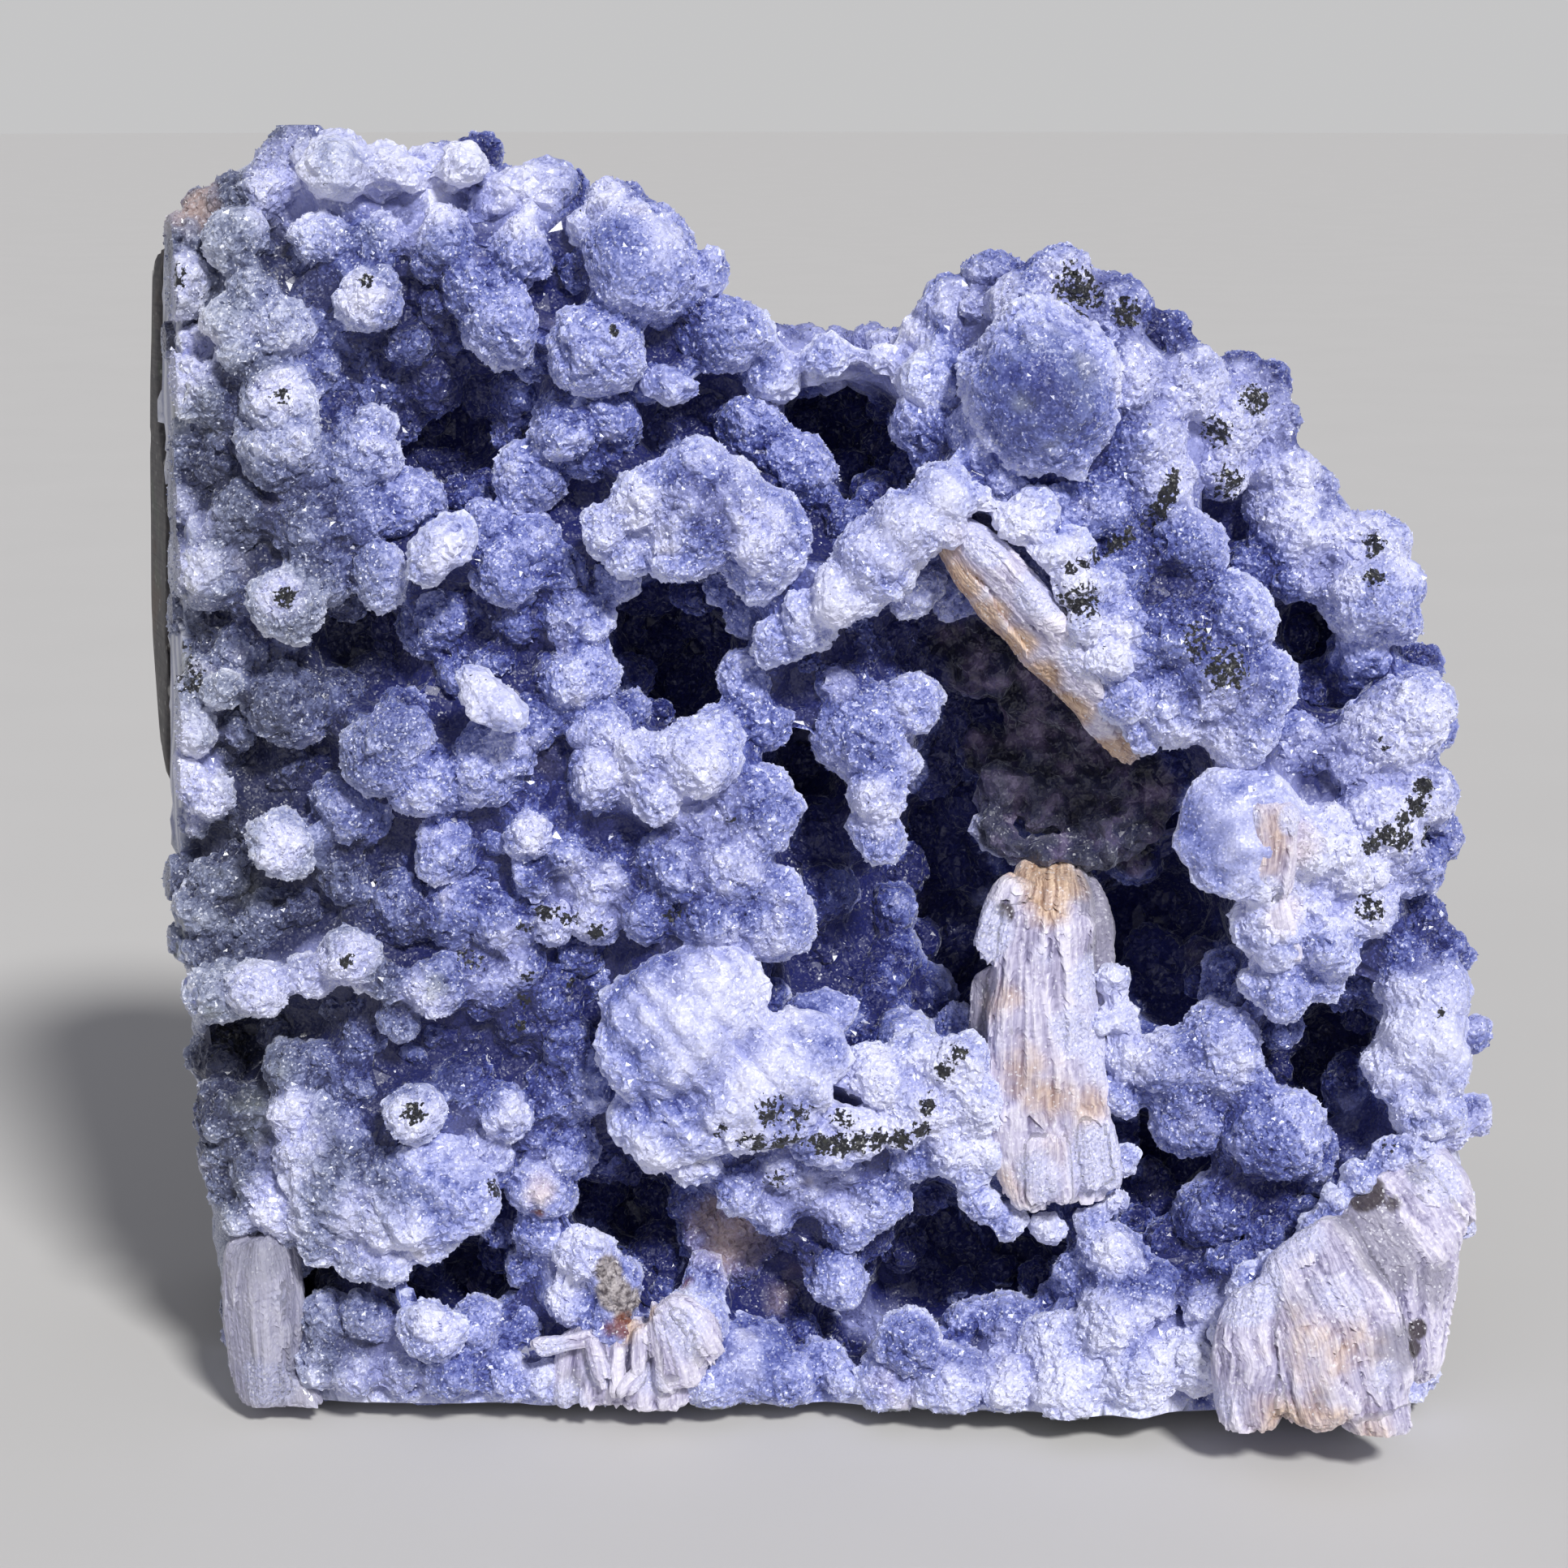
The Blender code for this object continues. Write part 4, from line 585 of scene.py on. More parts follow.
def move_points(obj, points):
    """Puts the vertices of a piece at points in millimetres, inside the box of the frame."""
    low, high = np.array(cad_box[0]), np.array(cad_box[1])
    obj.data.vertices.foreach_set("co", np.clip(points * MM, low, high).astype(np.float32).ravel())
    obj.data.update()


def keep(obj, **values):
    """Stores one number for each vertex of a piece under each name."""
    for name, numbers in values.items():
        layer = obj.data.attributes.new(name, "FLOAT", "POINT")
        layer.data.foreach_set("value", np.asarray(numbers, np.float32))


def new_piece(name, points, faces):
    """A piece from points in millimetres."""
    mesh = bpy.data.meshes.new(name)
    mesh.from_pydata(points * MM, [], faces)
    obj = bpy.data.objects.new(name, mesh)
    bpy.context.scene.collection.objects.link(obj)
    return obj


def settle(obj, kind, **settings):
    """Adds a modifier to a piece and applies it."""
    modifier = obj.modifiers.new(kind.title(), kind)
    for key, value in settings.items():
        setattr(modifier, key, value)
    bpy.ops.object.select_all(action="DESELECT")
    bpy.context.view_layer.objects.active = obj
    obj.select_set(True)
    bpy.ops.object.modifier_apply(modifier=modifier.name)


def thin_out(obj, hidden):
    """Coarsens the part of a piece that nothing can show."""
    group = obj.vertex_groups.new(name="hidden")
    group.add(np.nonzero(hidden)[0].tolist(), 1.0, "REPLACE")
    settle(obj, "DECIMATE", vertex_group=group.name, ratio=1 - HIDDEN_THINNING * hidden.mean())
    obj.vertex_groups.clear()


def crests(obj, *rounds):
    """How far each vertex stands out from the surface around it, in millimetres, for some reaches."""
    points, normals = points_of(obj)
    count = len(points)
    edges = np.empty(len(obj.data.edges) * 2, int)
    obj.data.edges.foreach_get("vertices", edges)
    first, second = edges.reshape(-1, 2).T
    joined = np.bincount(edges, minlength=count)
    found, soft = [], points
    for step in range(1, max(rounds) + 1):
        sums = [
            np.bincount(first, soft[second, i], count) + np.bincount(second, soft[first, i], count) for i in range(3)]
        soft = np.stack(sums, axis=1) / joined[:, None]
        if step in rounds:
            found.append(((points - soft) * normals).sum(axis=1))
    return found


def template(add, **settings):
    """The points and faces of a primitive at its first place, to be copied many times."""
    bpy.ops.object.select_all(action="DESELECT")
    add(**settings)
    obj = bpy.context.active_object
    points = np.array([v.co for v in obj.data.vertices])
    faces = [list(p.vertices) for p in obj.data.polygons]
    bpy.data.objects.remove(obj)
    return points, faces


def copies(shape, spots):
    """One mesh of many copies of a shape, each moved and stretched by a 3 by 3 matrix and a point."""
    points, faces = shape
    faces = np.array(faces)
    turned = np.concatenate([points @ matrix.T + centre for matrix, centre in spots])
    numbered = np.concatenate([faces + i * len(points) for i in range(len(spots))])
    return turned, numbered


BALL = template(bpy.ops.mesh.primitive_ico_sphere_add, subdivisions=3, radius=1.0)
BEAD = template(bpy.ops.mesh.primitive_ico_sphere_add, subdivisions=2, radius=1.0)


def tumbled(rng, scales):
    """A stretch by three shares along axes turned at random."""
    turn, _ = np.linalg.qr(rng.normal(size=(3, 3)))
    return turn @ np.diag(scales) @ turn.T


def lump_spots(rows, rng):
    """Balls for a row of lumps, and the smaller swellings that grow out of their faces."""
    balls, beads = [], []
    for across, down, face, r in rows:
        size = r * swell(face)
        centre = place([(across, down, face + size)])[0]
        balls.append((tumbled(rng, rng.uniform(0.8, 1.16, 3)) * size, centre))
        for _ in range(round(0.6 * r)):
            out = rng.normal(size=3)
            out[1] = -abs(out[1]) * 0.8 - 0.1
            out /= np.linalg.norm(out)
            bead = size * rng.uniform(0.42, 0.75)
            beads.append((tumbled(rng, rng.uniform(0.7, 1.2, 3)) * bead, centre + out * (size - 0.86 * bead)))
    return balls, beads


def grown_over(name, balls, beads, voxel, melt):
    """Balls and beads grown into one closed piece, coarse where it is buried in the block."""
    first, first_faces = copies(BALL, balls)
    if beads:
        second, second_faces = copies(BEAD, beads)
        first_faces = np.concatenate([first_faces, second_faces + len(first)])
        first = np.concatenate([first, second])
    obj = new_piece(name, first, first_faces)
    settle(obj, "REMESH", mode="VOXEL", voxel_size=voxel * MM)
    settle(obj, "SMOOTH", factor=0.5, iterations=melt)
    thin_out(obj, buried(points_of(obj)[0]) > 1.9)
    return obj


def sugared(points, normals, calm, seed):
    """The lumpy skin with its crumbs of quartz, flatter where the growth is calm."""
    rough = patched(points, PATCHES["rock"])
    sway = SWAY[0] * ripple(points, SWAY[1], 14) + (FINE_SWAY[0] + rough) * ripple(points, FINE_SWAY[1], 15)
    bent = points + 0.7 * np.stack([ripple(points, 2.2, seed) for seed in (61, 62, 63)], axis=1)
    (knob_gap, knob), (tooth_gap, tooth) = cells(bent, KNOB[1], 11), cells(points, TOOTH[1], 12)
    knobs = 0.3 - 0.6 * np.minimum(knob_gap, 1.0) ** 2 + 0.9 * knob
    teeth = 0.5 - np.minimum(tooth_gap, 1.0) + 0.7 * tooth
    height = (
        (1 - 0.6 * calm) * sway + (1 - calm) * (KNOB[0] * knobs + TOOTH[0] * teeth)
        + rough * ripple(points, 1.4, 16) - 0.15)
    crumbs = np.random.default_rng(seed).normal(scale=CRUMB, size=points.shape) * (1 - 0.8 * calm)[:, None]
    return points + normals * height[:, None] + crumbs


def trimmed(points):
    """Brings what stands past the sawn flank, or below the undercut, back to it."""
    for (point, facing), spare in zip(cut_planes(), (STANDS_PROUD, 0.0)):
        past = np.maximum((points - point) @ facing - spare, 0)
        points = points - past[:, None] * facing
    return points


def stepped(values, low, high):
    """0 below low, 1 above high and smooth between."""
    share = np.clip((values - low) / (high - low), 0, 1)
    return share * share * (3 - 2 * share)


def remember(obj, facing, calm=None):
    """Stores on a piece of the crust what its material reads; facing is where its broad forms face."""
    points, normals = points_of(obj)
    across, down, depth = read_off(points)
    shown = np.clip(1 - (depth - sampled(FRONT, across, down) - 2.0) / 4.0, 0, 1)
    # sunk: how far a point lies behind the softened front, which the colour darkens as painted shade.
    sunk = (depth - sampled(FRONT_WIDE, across, down)) * shown + (1 - shown)
    edge = np.min([np.hypot(across - a, down - d) for a, d in RIM], axis=0)
    # cave: how deep a point lies in the big hollows, which the colour darkens as painted shade.
    cave = stepped(depth - sampled(FRONT_LEVEL, across, down), 3.0, 18.0) * shown * stepped(edge, 3.0, 12.0)
    fine, broad = crests(obj, 4, 20)
    marks = {name: patched(points, rows) for name, rows in PATCHES.items()}
    calm = marks.pop("smooth") if calm is None else calm
    wide, middle, small = ripple(points, 12.0, 51), ripple(points, 4.2, 52), ripple(points, 1.8, 53)
    # rim: how far the broad forms turn away from the viewer, which the colour whitens as a painted sheen.
    rim = 1 - np.clip(facing @ TOWARDS_VIEWER, 0, 1)
    measures = {
        "everywhere": 1, "rim": rim, "steep_rim": rim ** 4, "fine_crest": fine, "broad_crest": np.clip(broad, -0.9, 0.9),
        "sunk": np.clip(sunk, -3, 7), "cave": cave, "wide_cloud": wide, "middle_cloud": middle, "small_cloud": small,
        "deep_patch": marks["deep"]}
    # The crust's tone, with painted shade in recesses and a painted sheen on rims mixed in.
    frost = sum(FROST_AND_SHADE[name] * measure for name, measure in measures.items())
    keep(
        obj, frost=frost, calm=calm, cut=sawn(points, normals), speck=marks["speck"],
        weathered=stepped(across / MAP_SPAN + 0.04 * middle + 0.05 * wide, 0.32, 0.12),
        # Pale patches fade where the surface is sunk: painted shade.
        pale=stepped(marks["pale"] + 0.25 * middle + 0.2 * small - 0.06 * np.clip(sunk, 0, 6), 0.08, 0.8),
        moss=stepped(marks["moss"] + 0.3 * middle + 0.2 * small, 0.2, 0.9),
        peach=stepped(marks["peach"] + 0.25 * middle + 0.15 * small, 0.15, 0.9),
        rock=stepped(marks["rock"] + 0.25 * middle + 0.15 * small, 0.2, 0.6),
        sand=stepped(marks["sand"], 0.15, 0.45), rust=stepped(marks["rust"] + 0.2 * small, 0.25, 0.7),
        layers=depth - sampled(GROUND, across, down) + 2.5 * wide, blotch=stepped(wide + 0.5 * middle, 0.1, 0.7))


def coated(obj, points, normals, calm, seed, kept_calm=None):
    """A piece of the crust with its quartz coat on, cut flat where the block is sawn, its looks stored on it."""
    move_points(obj, trimmed(sugared(points, normals, calm, seed)))
    remember(obj, normals, kept_calm)
    obj.data.shade_flat()
    return obj


def crust_lumps(name, rows, seed, voxel, melt):
    """A region's lumps, grown into one another."""
    obj = grown_over(name, *lump_spots(rows, np.random.default_rng(seed)), voxel, melt)
    points, normals = points_of(obj)
    return coated(obj, points, normals, patched(points, PATCHES["smooth"]), seed)


def small_fill():
    """Small lumps wherever the front would show bare ground, listed by the region they grow in."""
    rng = np.random.default_rng(17)
    cover = GROUND - FRONT
    owners = [(row[0], row[1], region) for region, rows in LUMPS.items() for row in rows]
    spots = np.array([owner[:2] for owner in owners])
    fill = {region: [] for region in LUMPS}
    for _ in range(FILL_TRIES):
        across, down, r = rng.uniform(18, 182), rng.uniform(17, 176), rng.uniform(2.2, 4.0)
        stands = rng.uniform(-0.05, 0.4) * r
        ground = sounding(GROUND, across, down)
        if sounding(cover, across, down) > 0.7 or buried(place([(across, down, ground)]))[0] < -0.5:
            continue
        owner = owners[int(((spots - (across, down)) ** 2).sum(axis=1).argmin())]
        fill[owner[2]].append((across, down, ground - stands, r))
        cover[(MAP_ACROSS - across) ** 2 + (MAP_DOWN - down) ** 2 < (0.75 * r) ** 2] = 2.0
    return fill


def crust_plates(name, rows):
    """Lens-shaped growths that face the viewer, with fine grooves down to the right on the striated ones."""
    spots = []
    for across, down, face, w, h, deep, turn in rows:
        facing = Matrix.Rotation(-EYE_PITCH, 3, "X") @ Matrix.Rotation(-math.radians(turn), 3, "Y")
        matrix = np.array(facing @ Matrix.Diagonal((w * swell(face), deep, h * swell(face))))
        spots.append((matrix, place([(across, down, face + deep)])[0]))
    obj = grown_over(name, spots, [], LUMP_VOXEL, PLATE_MELT)
    points, normals = points_of(obj)
    across, down, _ = read_off(points)
    calm = patched(points, PATCHES["smooth"])
    if name == "striated_plate":
        grooves = np.stack([0.78 * across - 0.62 * down, 0.09 * (0.62 * across + 0.78 * down), 0 * down], axis=1)
        points = points + normals * (0.42 * ripple(grooves, 1.1, 21) + 0.3 * ripple(grooves, 2.6, 22))[:, None]
    points = points + normals * (0.8 * ripple(points, 4.2, 23) + 0.35 * ripple(points, 1.9, 24))[:, None]
    return coated(obj, points, normals, calm, len(rows), np.maximum(calm, 0.35))


def rim_lumps():
    """Lumps of the crust over the top and down the right side, behind the rim that the viewer sees."""
    rng = np.random.default_rng(5)
    balls, beads = [], []
    for across, down in RIM:
        for depth, kept in RIM_ROWS:
            r = rng.uniform(2.6, 5.0)
            share = kept - 0.62 * r / math.dist((across, down), HEART)
            slide = rng.uniform(-2.5, 2.5, 2)
            centre = place([(
                HEART[0] + share * (across + slide[0] - HEART[0]), HEART[1] + share * (down + slide[1] - HEART[1]),
                depth + rng.uniform(-2.5, 2.5))])[0]
            balls.append((tumbled(rng, rng.uniform(0.8, 1.2, 3)) * r, centre))
            outward = centre - place([(*HEART, depth)])[0]
            outward /= np.linalg.norm(outward)
            for _ in range(3):
                out = outward + rng.normal(size=3) * 0.7
                out /= np.linalg.norm(out)
                bead = r * rng.uniform(0.4, 0.6)
                beads.append((tumbled(rng, rng.uniform(0.75, 1.2, 3)) * bead, centre + out * (r - 0.7 * bead)))
    obj = grown_over("rim_lumps", balls, beads, RIM_VOXEL, RIM_MELT)
    points, normals = points_of(obj)
    return coated(obj, points, normals, np.zeros(len(points)), 6)


def merged_copy(node, name):
    """A copy of a node of the frame, its loose triangles joined."""
    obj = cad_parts[node].copy()
    obj.data = obj.data.copy()
    obj.name = obj.data.name = name
    obj.parent = None
    obj.hide_render = False
    bpy.context.scene.collection.objects.link(obj)
    obj.data.materials.clear()
    bpy.ops.object.select_all(action="DESELECT")
    bpy.context.view_layer.objects.active = obj
    obj.select_set(True)
    bpy.ops.object.mode_set(mode="EDIT")
    bpy.ops.mesh.select_all(action="SELECT")
    bpy.ops.mesh.remove_doubles(threshold=0.000001)
    bpy.ops.object.mode_set(mode="OBJECT")
    return obj


def crust_ground():
    """The body of the crust between and behind the lumps."""
    obj = merged_copy("chalcedony_crust", "crust_ground")
    settle(obj, "REMESH", mode="VOXEL", voxel_size=GROUND_VOXEL * MM)
    points, normals = points_of(obj)
    across, down, depth = read_off(points)
    covered = (depth - sampled(FRONT, across, down) > 1.8) & (depth - sampled(GROUND, across, down) < 3)
    thin_out(obj, (buried(points) > 2.6) | covered)
    points, normals = points_of(obj)
    cut = sawn(points, normals)
    across, down, depth = read_off(points)
    front = np.clip(1 - (depth - sampled(GROUND, across, down) - 3.0) / 3.0, 0, 1)
    skin = 0.5 * ripple(points, 3.0, 31) + 1.2 * (0.5 - np.minimum(cells(points, 4.4, 11)[0], 1) ** 2)
    crumbs = np.random.default_rng(32).normal(scale=2 * CRUMB, size=points.shape)
    move_points(obj, points + (normals * (skin - 2.0 * front)[:, None] + crumbs) * (1 - cut)[:, None])
    remember(obj, normals)
    obj.data.shade_flat()
    return obj


def basalt_block():
    """The broken basalt at the back, with its small pits."""
    obj = merged_copy("basalt_matrix", "basalt_block")
    settle(obj, "REMESH", mode="VOXEL", voxel_size=BASALT_VOXEL * MM)
    thin_out(obj, buried(points_of(obj)[0]) > 2.6)
    points, normals = points_of(obj)
    cut = sawn(points, normals)
    chips = 0.9 * ripple(points, 11.0, 41) + 0.55 * ripple(points, 4.5, 42) + 0.3 * ripple(points, 1.9, 43) - 0.6
    pits = np.clip(1 - cells(points, 6.5, 44)[0] / 0.22, 0, 1) * -1.3
    move_points(obj, points + normals * ((1 - cut) * (chips + pits) + cut * 0.5 * pits)[:, None])
    keep(obj, cut=cut)
    obj.data.shade_smooth()
    return obj


def blended(rows, shares):
    """The points at some shares of the way along a row of points."""
    rows = np.array(rows, float)
    steps = np.linspace(0, 1, len(rows))
    return np.stack([np.interp(shares, steps, rows[:, i]) for i in range(rows.shape[1])], axis=1)


class Bundle:
    """A flat bundle of fibres that run along two side lines of readings, closed and rounded at its ends."""

    STATIONS = 33
    RING = 20

    def __init__(self, first, last, thick):
        shares = np.linspace(0, 1, self.STATIONS)
        one, other = place(blended(first, shares)), place(blended(last, shares))
        self.centres, self.sides, self.thick = (one + other) / 2, (other - one) / 2, thick
        self.axes = np.gradient(self.centres, axis=0)
        self.axes /= np.linalg.norm(self.axes, axis=1)[:, None]
        self.outs = np.cross(self.sides, self.axes)
        self.outs /= np.linalg.norm(self.outs, axis=1)[:, None]
        gone = np.linalg.norm(np.diff(self.centres, axis=0), axis=1)
        self.along = np.r_[0, np.cumsum(gone)]
        self.width = np.linalg.norm(self.sides, axis=1)

    def solid(self):
        """The closed skin of the bundle as points and triangles."""
        angle = np.arange(self.RING) * 2 * math.pi / self.RING
        wide, high = (np.sign(f(angle)) * np.abs(f(angle)) ** 0.6 for f in (np.cos, np.sin))
        taper = 1 - 0.3 * np.abs(np.linspace(-1, 1, self.STATIONS)) ** 8
        skin = (
            self.centres[:, None] + self.sides[:, None] * (wide * taper[:, None])[:, :, None]
            + self.outs[:, None] * (high * taper[:, None])[:, :, None] * self.thick / 2)
        points = np.concatenate([skin.reshape(-1, 3), self.centres[[0, -1]]])
        ends = len(points) - 2, len(points) - 1
        faces = []
        for i in range(self.RING):
            j = (i + 1) % self.RING
            for k in range(0, (self.STATIONS - 1) * self.RING, self.RING):
                faces += [(k + i, k + j, k + self.RING + j), (k + i, k + self.RING + j, k + self.RING + i)]
            last = (self.STATIONS - 1) * self.RING
            faces += [(j, i, ends[0]), (last + i, last + j, ends[1])]
        return points, np.array(faces)

    def lay(self, points):
        """How far out points lie (1 at the skin), their place across, through and along, and the way along."""
        nearest = np.argmin(((points[:, None] - self.centres[None]) ** 2).sum(axis=2), axis=1)
        gone = points - self.centres[nearest]
        side = (gone * self.sides[nearest]).sum(axis=1) / self.width[nearest] ** 2
        through = (gone * self.outs[nearest]).sum(axis=1)
        ahead = (gone * self.axes[nearest]).sum(axis=1)
        spare = np.maximum(np.abs(self.along[nearest] + ahead - self.along[-1] / 2) - self.along[-1] / 2, 0)
        far = np.maximum(np.maximum(np.abs(side), np.abs(through) / (self.thick / 2)), 1 + spare)
        lay = np.stack([side * self.width.mean(), through, self.along[nearest] + ahead], axis=1)
        return far, lay, self.axes[nearest]


def patched_at(points, rows):
    """As patched, for patches whose depth is given: (across, down, depth, radius, share)."""
    total = np.zeros(len(points))
    for across, down, depth, radius, share in rows:
        gap = ((points - place([(across, down, depth)])[0]) ** 2).sum(axis=1) / radius ** 2
        total = np.maximum(total, share * np.clip(1 - gap, 0, 1))
    return total


def sheaf(name, seed, bundles, melt=6, depth=0.5, voxel=STILBITE_VOXEL, slip=0.3, **stains_and_shade):
    """Bundles of fibres grown together into one closed piece with uneven ends, and the coloured patches and painted
    shade that it carries.
    """
    bundles = [Bundle(*row) for row in bundles]
    points, faces, total = [], [], 0
    for bundle in bundles:
        skin, triangles = bundle.solid()
        points.append(skin)
        faces.append(triangles + total)
        total += len(skin)
    obj = new_piece(name, np.concatenate(points), np.concatenate(faces))
    settle(obj, "REMESH", mode="VOXEL", voxel_size=voxel * MM)
    settle(obj, "SMOOTH", factor=0.5, iterations=melt)
    thin_out(obj, buried(points_of(obj)[0]) > 4.0)
    points, normals = points_of(obj)
    least = np.full(len(points), 1e9)
    fibre, axis = np.zeros_like(points), np.zeros_like(points)
    for number, bundle in enumerate(bundles):
        far, lay, ways = bundle.lay(points)
        nearer = far < least
        least[nearer], fibre[nearer], axis[nearer] = far[nearer], (lay + 9.0 * number)[nearer], ways[nearer]
    wobble = 0.5 * ripple(points, 5.0, seed + 5)
    bent = fibre + np.stack([wobble, wobble, 0 * wobble], axis=1)
    broad_gap, broad_pick = cells(bent * (1, 1, 0.13), 2.3, seed)
    fine_gap, fine_pick = cells(bent * (1, 1, 0.12), 1.0, seed + 1)
    height = (
        0.9 * broad_pick - 0.6 * broad_gap ** 2 + 0.5 * fine_pick - 0.3 * fine_gap ** 2
        + 0.9 * ripple(points, 3.5, seed + 2) + 0.3)
    slide = 3.2 * broad_pick + 1.6 * fine_pick
    crumbs = np.random.default_rng(seed).normal(scale=0.35 * CRUMB, size=points.shape)
    move_points(obj, trimmed(points + normals * (depth * height)[:, None] + axis * (slip * slide)[:, None] + crumbs))
    layer = obj.data.attributes.new("fibre", "FLOAT_VECTOR", "POINT")
    layer.data.foreach_set("vector", bent.astype(np.float32).ravel())
    # How far each vertex stands out, which the colour uses to paint shade into the grooves.
    fine, broad = crests(obj, 3, 14)
    keep(obj, fine=fine, broad=broad, blade=broad_pick + 0.8 * fine_pick)
    points, _ = points_of(obj)
    keep(obj, **{marking: patched_at(points, rows) for marking, rows in stains_and_shade.items()})
    obj.data.shade_flat()
    return obj


def stilbite_column():
    """The upright sheaf in the big hollow: fibres that spread and step at the foot, dusted with quartz at its sides."""
    return sheaf("stilbite_column_blades", 61, [
        ([(126.4, 106.8, 26), (125, 108.6, 20.4), (123.8, 111, 16.2), (123, 114, 13.4), (122, 122, 12),
          (121.2, 134, 10), (122.2, 148, 8.6)],
         [(132.6, 106.9, 26.6), (133.6, 108.8, 21.2), (134.4, 111, 17.4), (134.8, 114, 14.6), (135, 122, 13),
          (136.6, 134, 11), (138.2, 147, 10.2)], 7),
        ([(130.6, 107.4, 26), (131.6, 110, 21), (132.6, 114.4, 18), (134, 124, 16), (134, 134, 14)],
         [(133.6, 108, 26), (135.6, 110, 21.6), (137, 114.4, 19), (137, 124, 17), (137, 134, 14.5)], 5),
        ([(119.3, 120, 15.5), (119.4, 128, 14)], [(123, 118.6, 15), (123, 130, 13)], 2.4),
        ([(126, 139.6, 7.8), (125.4, 148.6, 7.2)], [(131.5, 139.4, 7.6), (132.5, 148.2, 7)], 4.2),
        ([(131.8, 136.6, 8.4), (132.4, 147, 7.8)], [(137, 137.2, 9.6), (138.6, 145.6, 9)], 4.2),
        ([(123.6, 107.6, 14.8), (119.4, 116, 13)], [(127.6, 109, 14.4), (123.6, 119.6, 12.6)], 4),
    ],
        ochre=[(129.3, 105, 16, 8.5, 1.5), (129, 111, 13, 5, 1.1), (129.5, 135.6, 6, 4.6, 0.75),
               (134.5, 136.5, 8, 4, 0.7), (124.5, 146.5, 6, 4.2, 0.75), (122.5, 123, 10, 5, 0.6),
               (126, 131, 7, 6, 0.6), (131, 142, 7, 4, 0.5)],
        brown=[(123.6, 112.6, 12, 1.9, 1.4), (122.6, 114.6, 11.5, 1.4, 1.3), (128, 103.8, 16, 3.5, 0.9),
               (124.8, 127, 8.5, 1.2, 0.6)],
        # The darker purple patches at the right of the column are painted shade.
        grey=[(135.8, 110, 17, 7, 1.3), (136.6, 117, 15, 6, 1.2), (119.6, 124, 14, 5, 1.2), (127, 133, 7, 3, 0.4)],
        dust=[(138, 128, 11, 8, 1.2), (134.5, 121, 11, 5, 0.9), (121, 115, 12.5, 5.5, 1.2), (136, 143, 7, 7, 1),
              (128, 118, 8.5, 4, 0.5), (132.5, 127, 7.5, 5, 0.8), (128, 145, 6, 5, 0.7), (121, 135, 9, 4, 0.8)])


def stilbite_ledge():
    """The long blade that roofs the big hollow: white along its upper edge, and brown underneath, partly as painted
    shade.
    """
    return sheaf("stilbite_ledge_blades", 63, [
        ([(119, 63, 8), (125, 68.6, 5.6), (131, 75.8, 5.6), (136, 83.4, 7.4), (141, 92, 13.6)],
         [(115, 67, 12), (120, 73.8, 10), (126.4, 81, 10.6), (132.4, 87.2, 12), (138, 94.2, 15.6)], 4.8),
    ], melt=4,
        ochre=[(116, 66.8, 9, 4.6, 1.3), (119.2, 71, 9, 4.6, 1.5), (122.4, 75, 9, 4.6, 1.5),
               (125.4, 78.6, 9, 4.6, 1.5), (128.8, 82.2, 9.6, 4.6, 1.5), (132.6, 86.2, 10.6, 4.4, 1.5),
               (137.4, 91.8, 13, 4.8, 1.3)],
        # The brown along the underside is partly painted shade.
        brown=[(118, 71.4, 11.5, 2.2, 0.9), (127, 82, 11.5, 2.2, 0.9), (133.5, 88.4, 13, 2.4, 0.9),
               (122.5, 77, 10.8, 2, 0.8)],
        grey=[(139, 88, 9, 5, 0.8), (115, 65, 10, 3, 0.4)],
        dust=[(121.6, 66, 6, 5, 1.1), (128.4, 73, 5.4, 4.6, 1.1), (134, 80.6, 6, 4.6, 1.1), (139, 87, 8, 4.6, 1.1)])


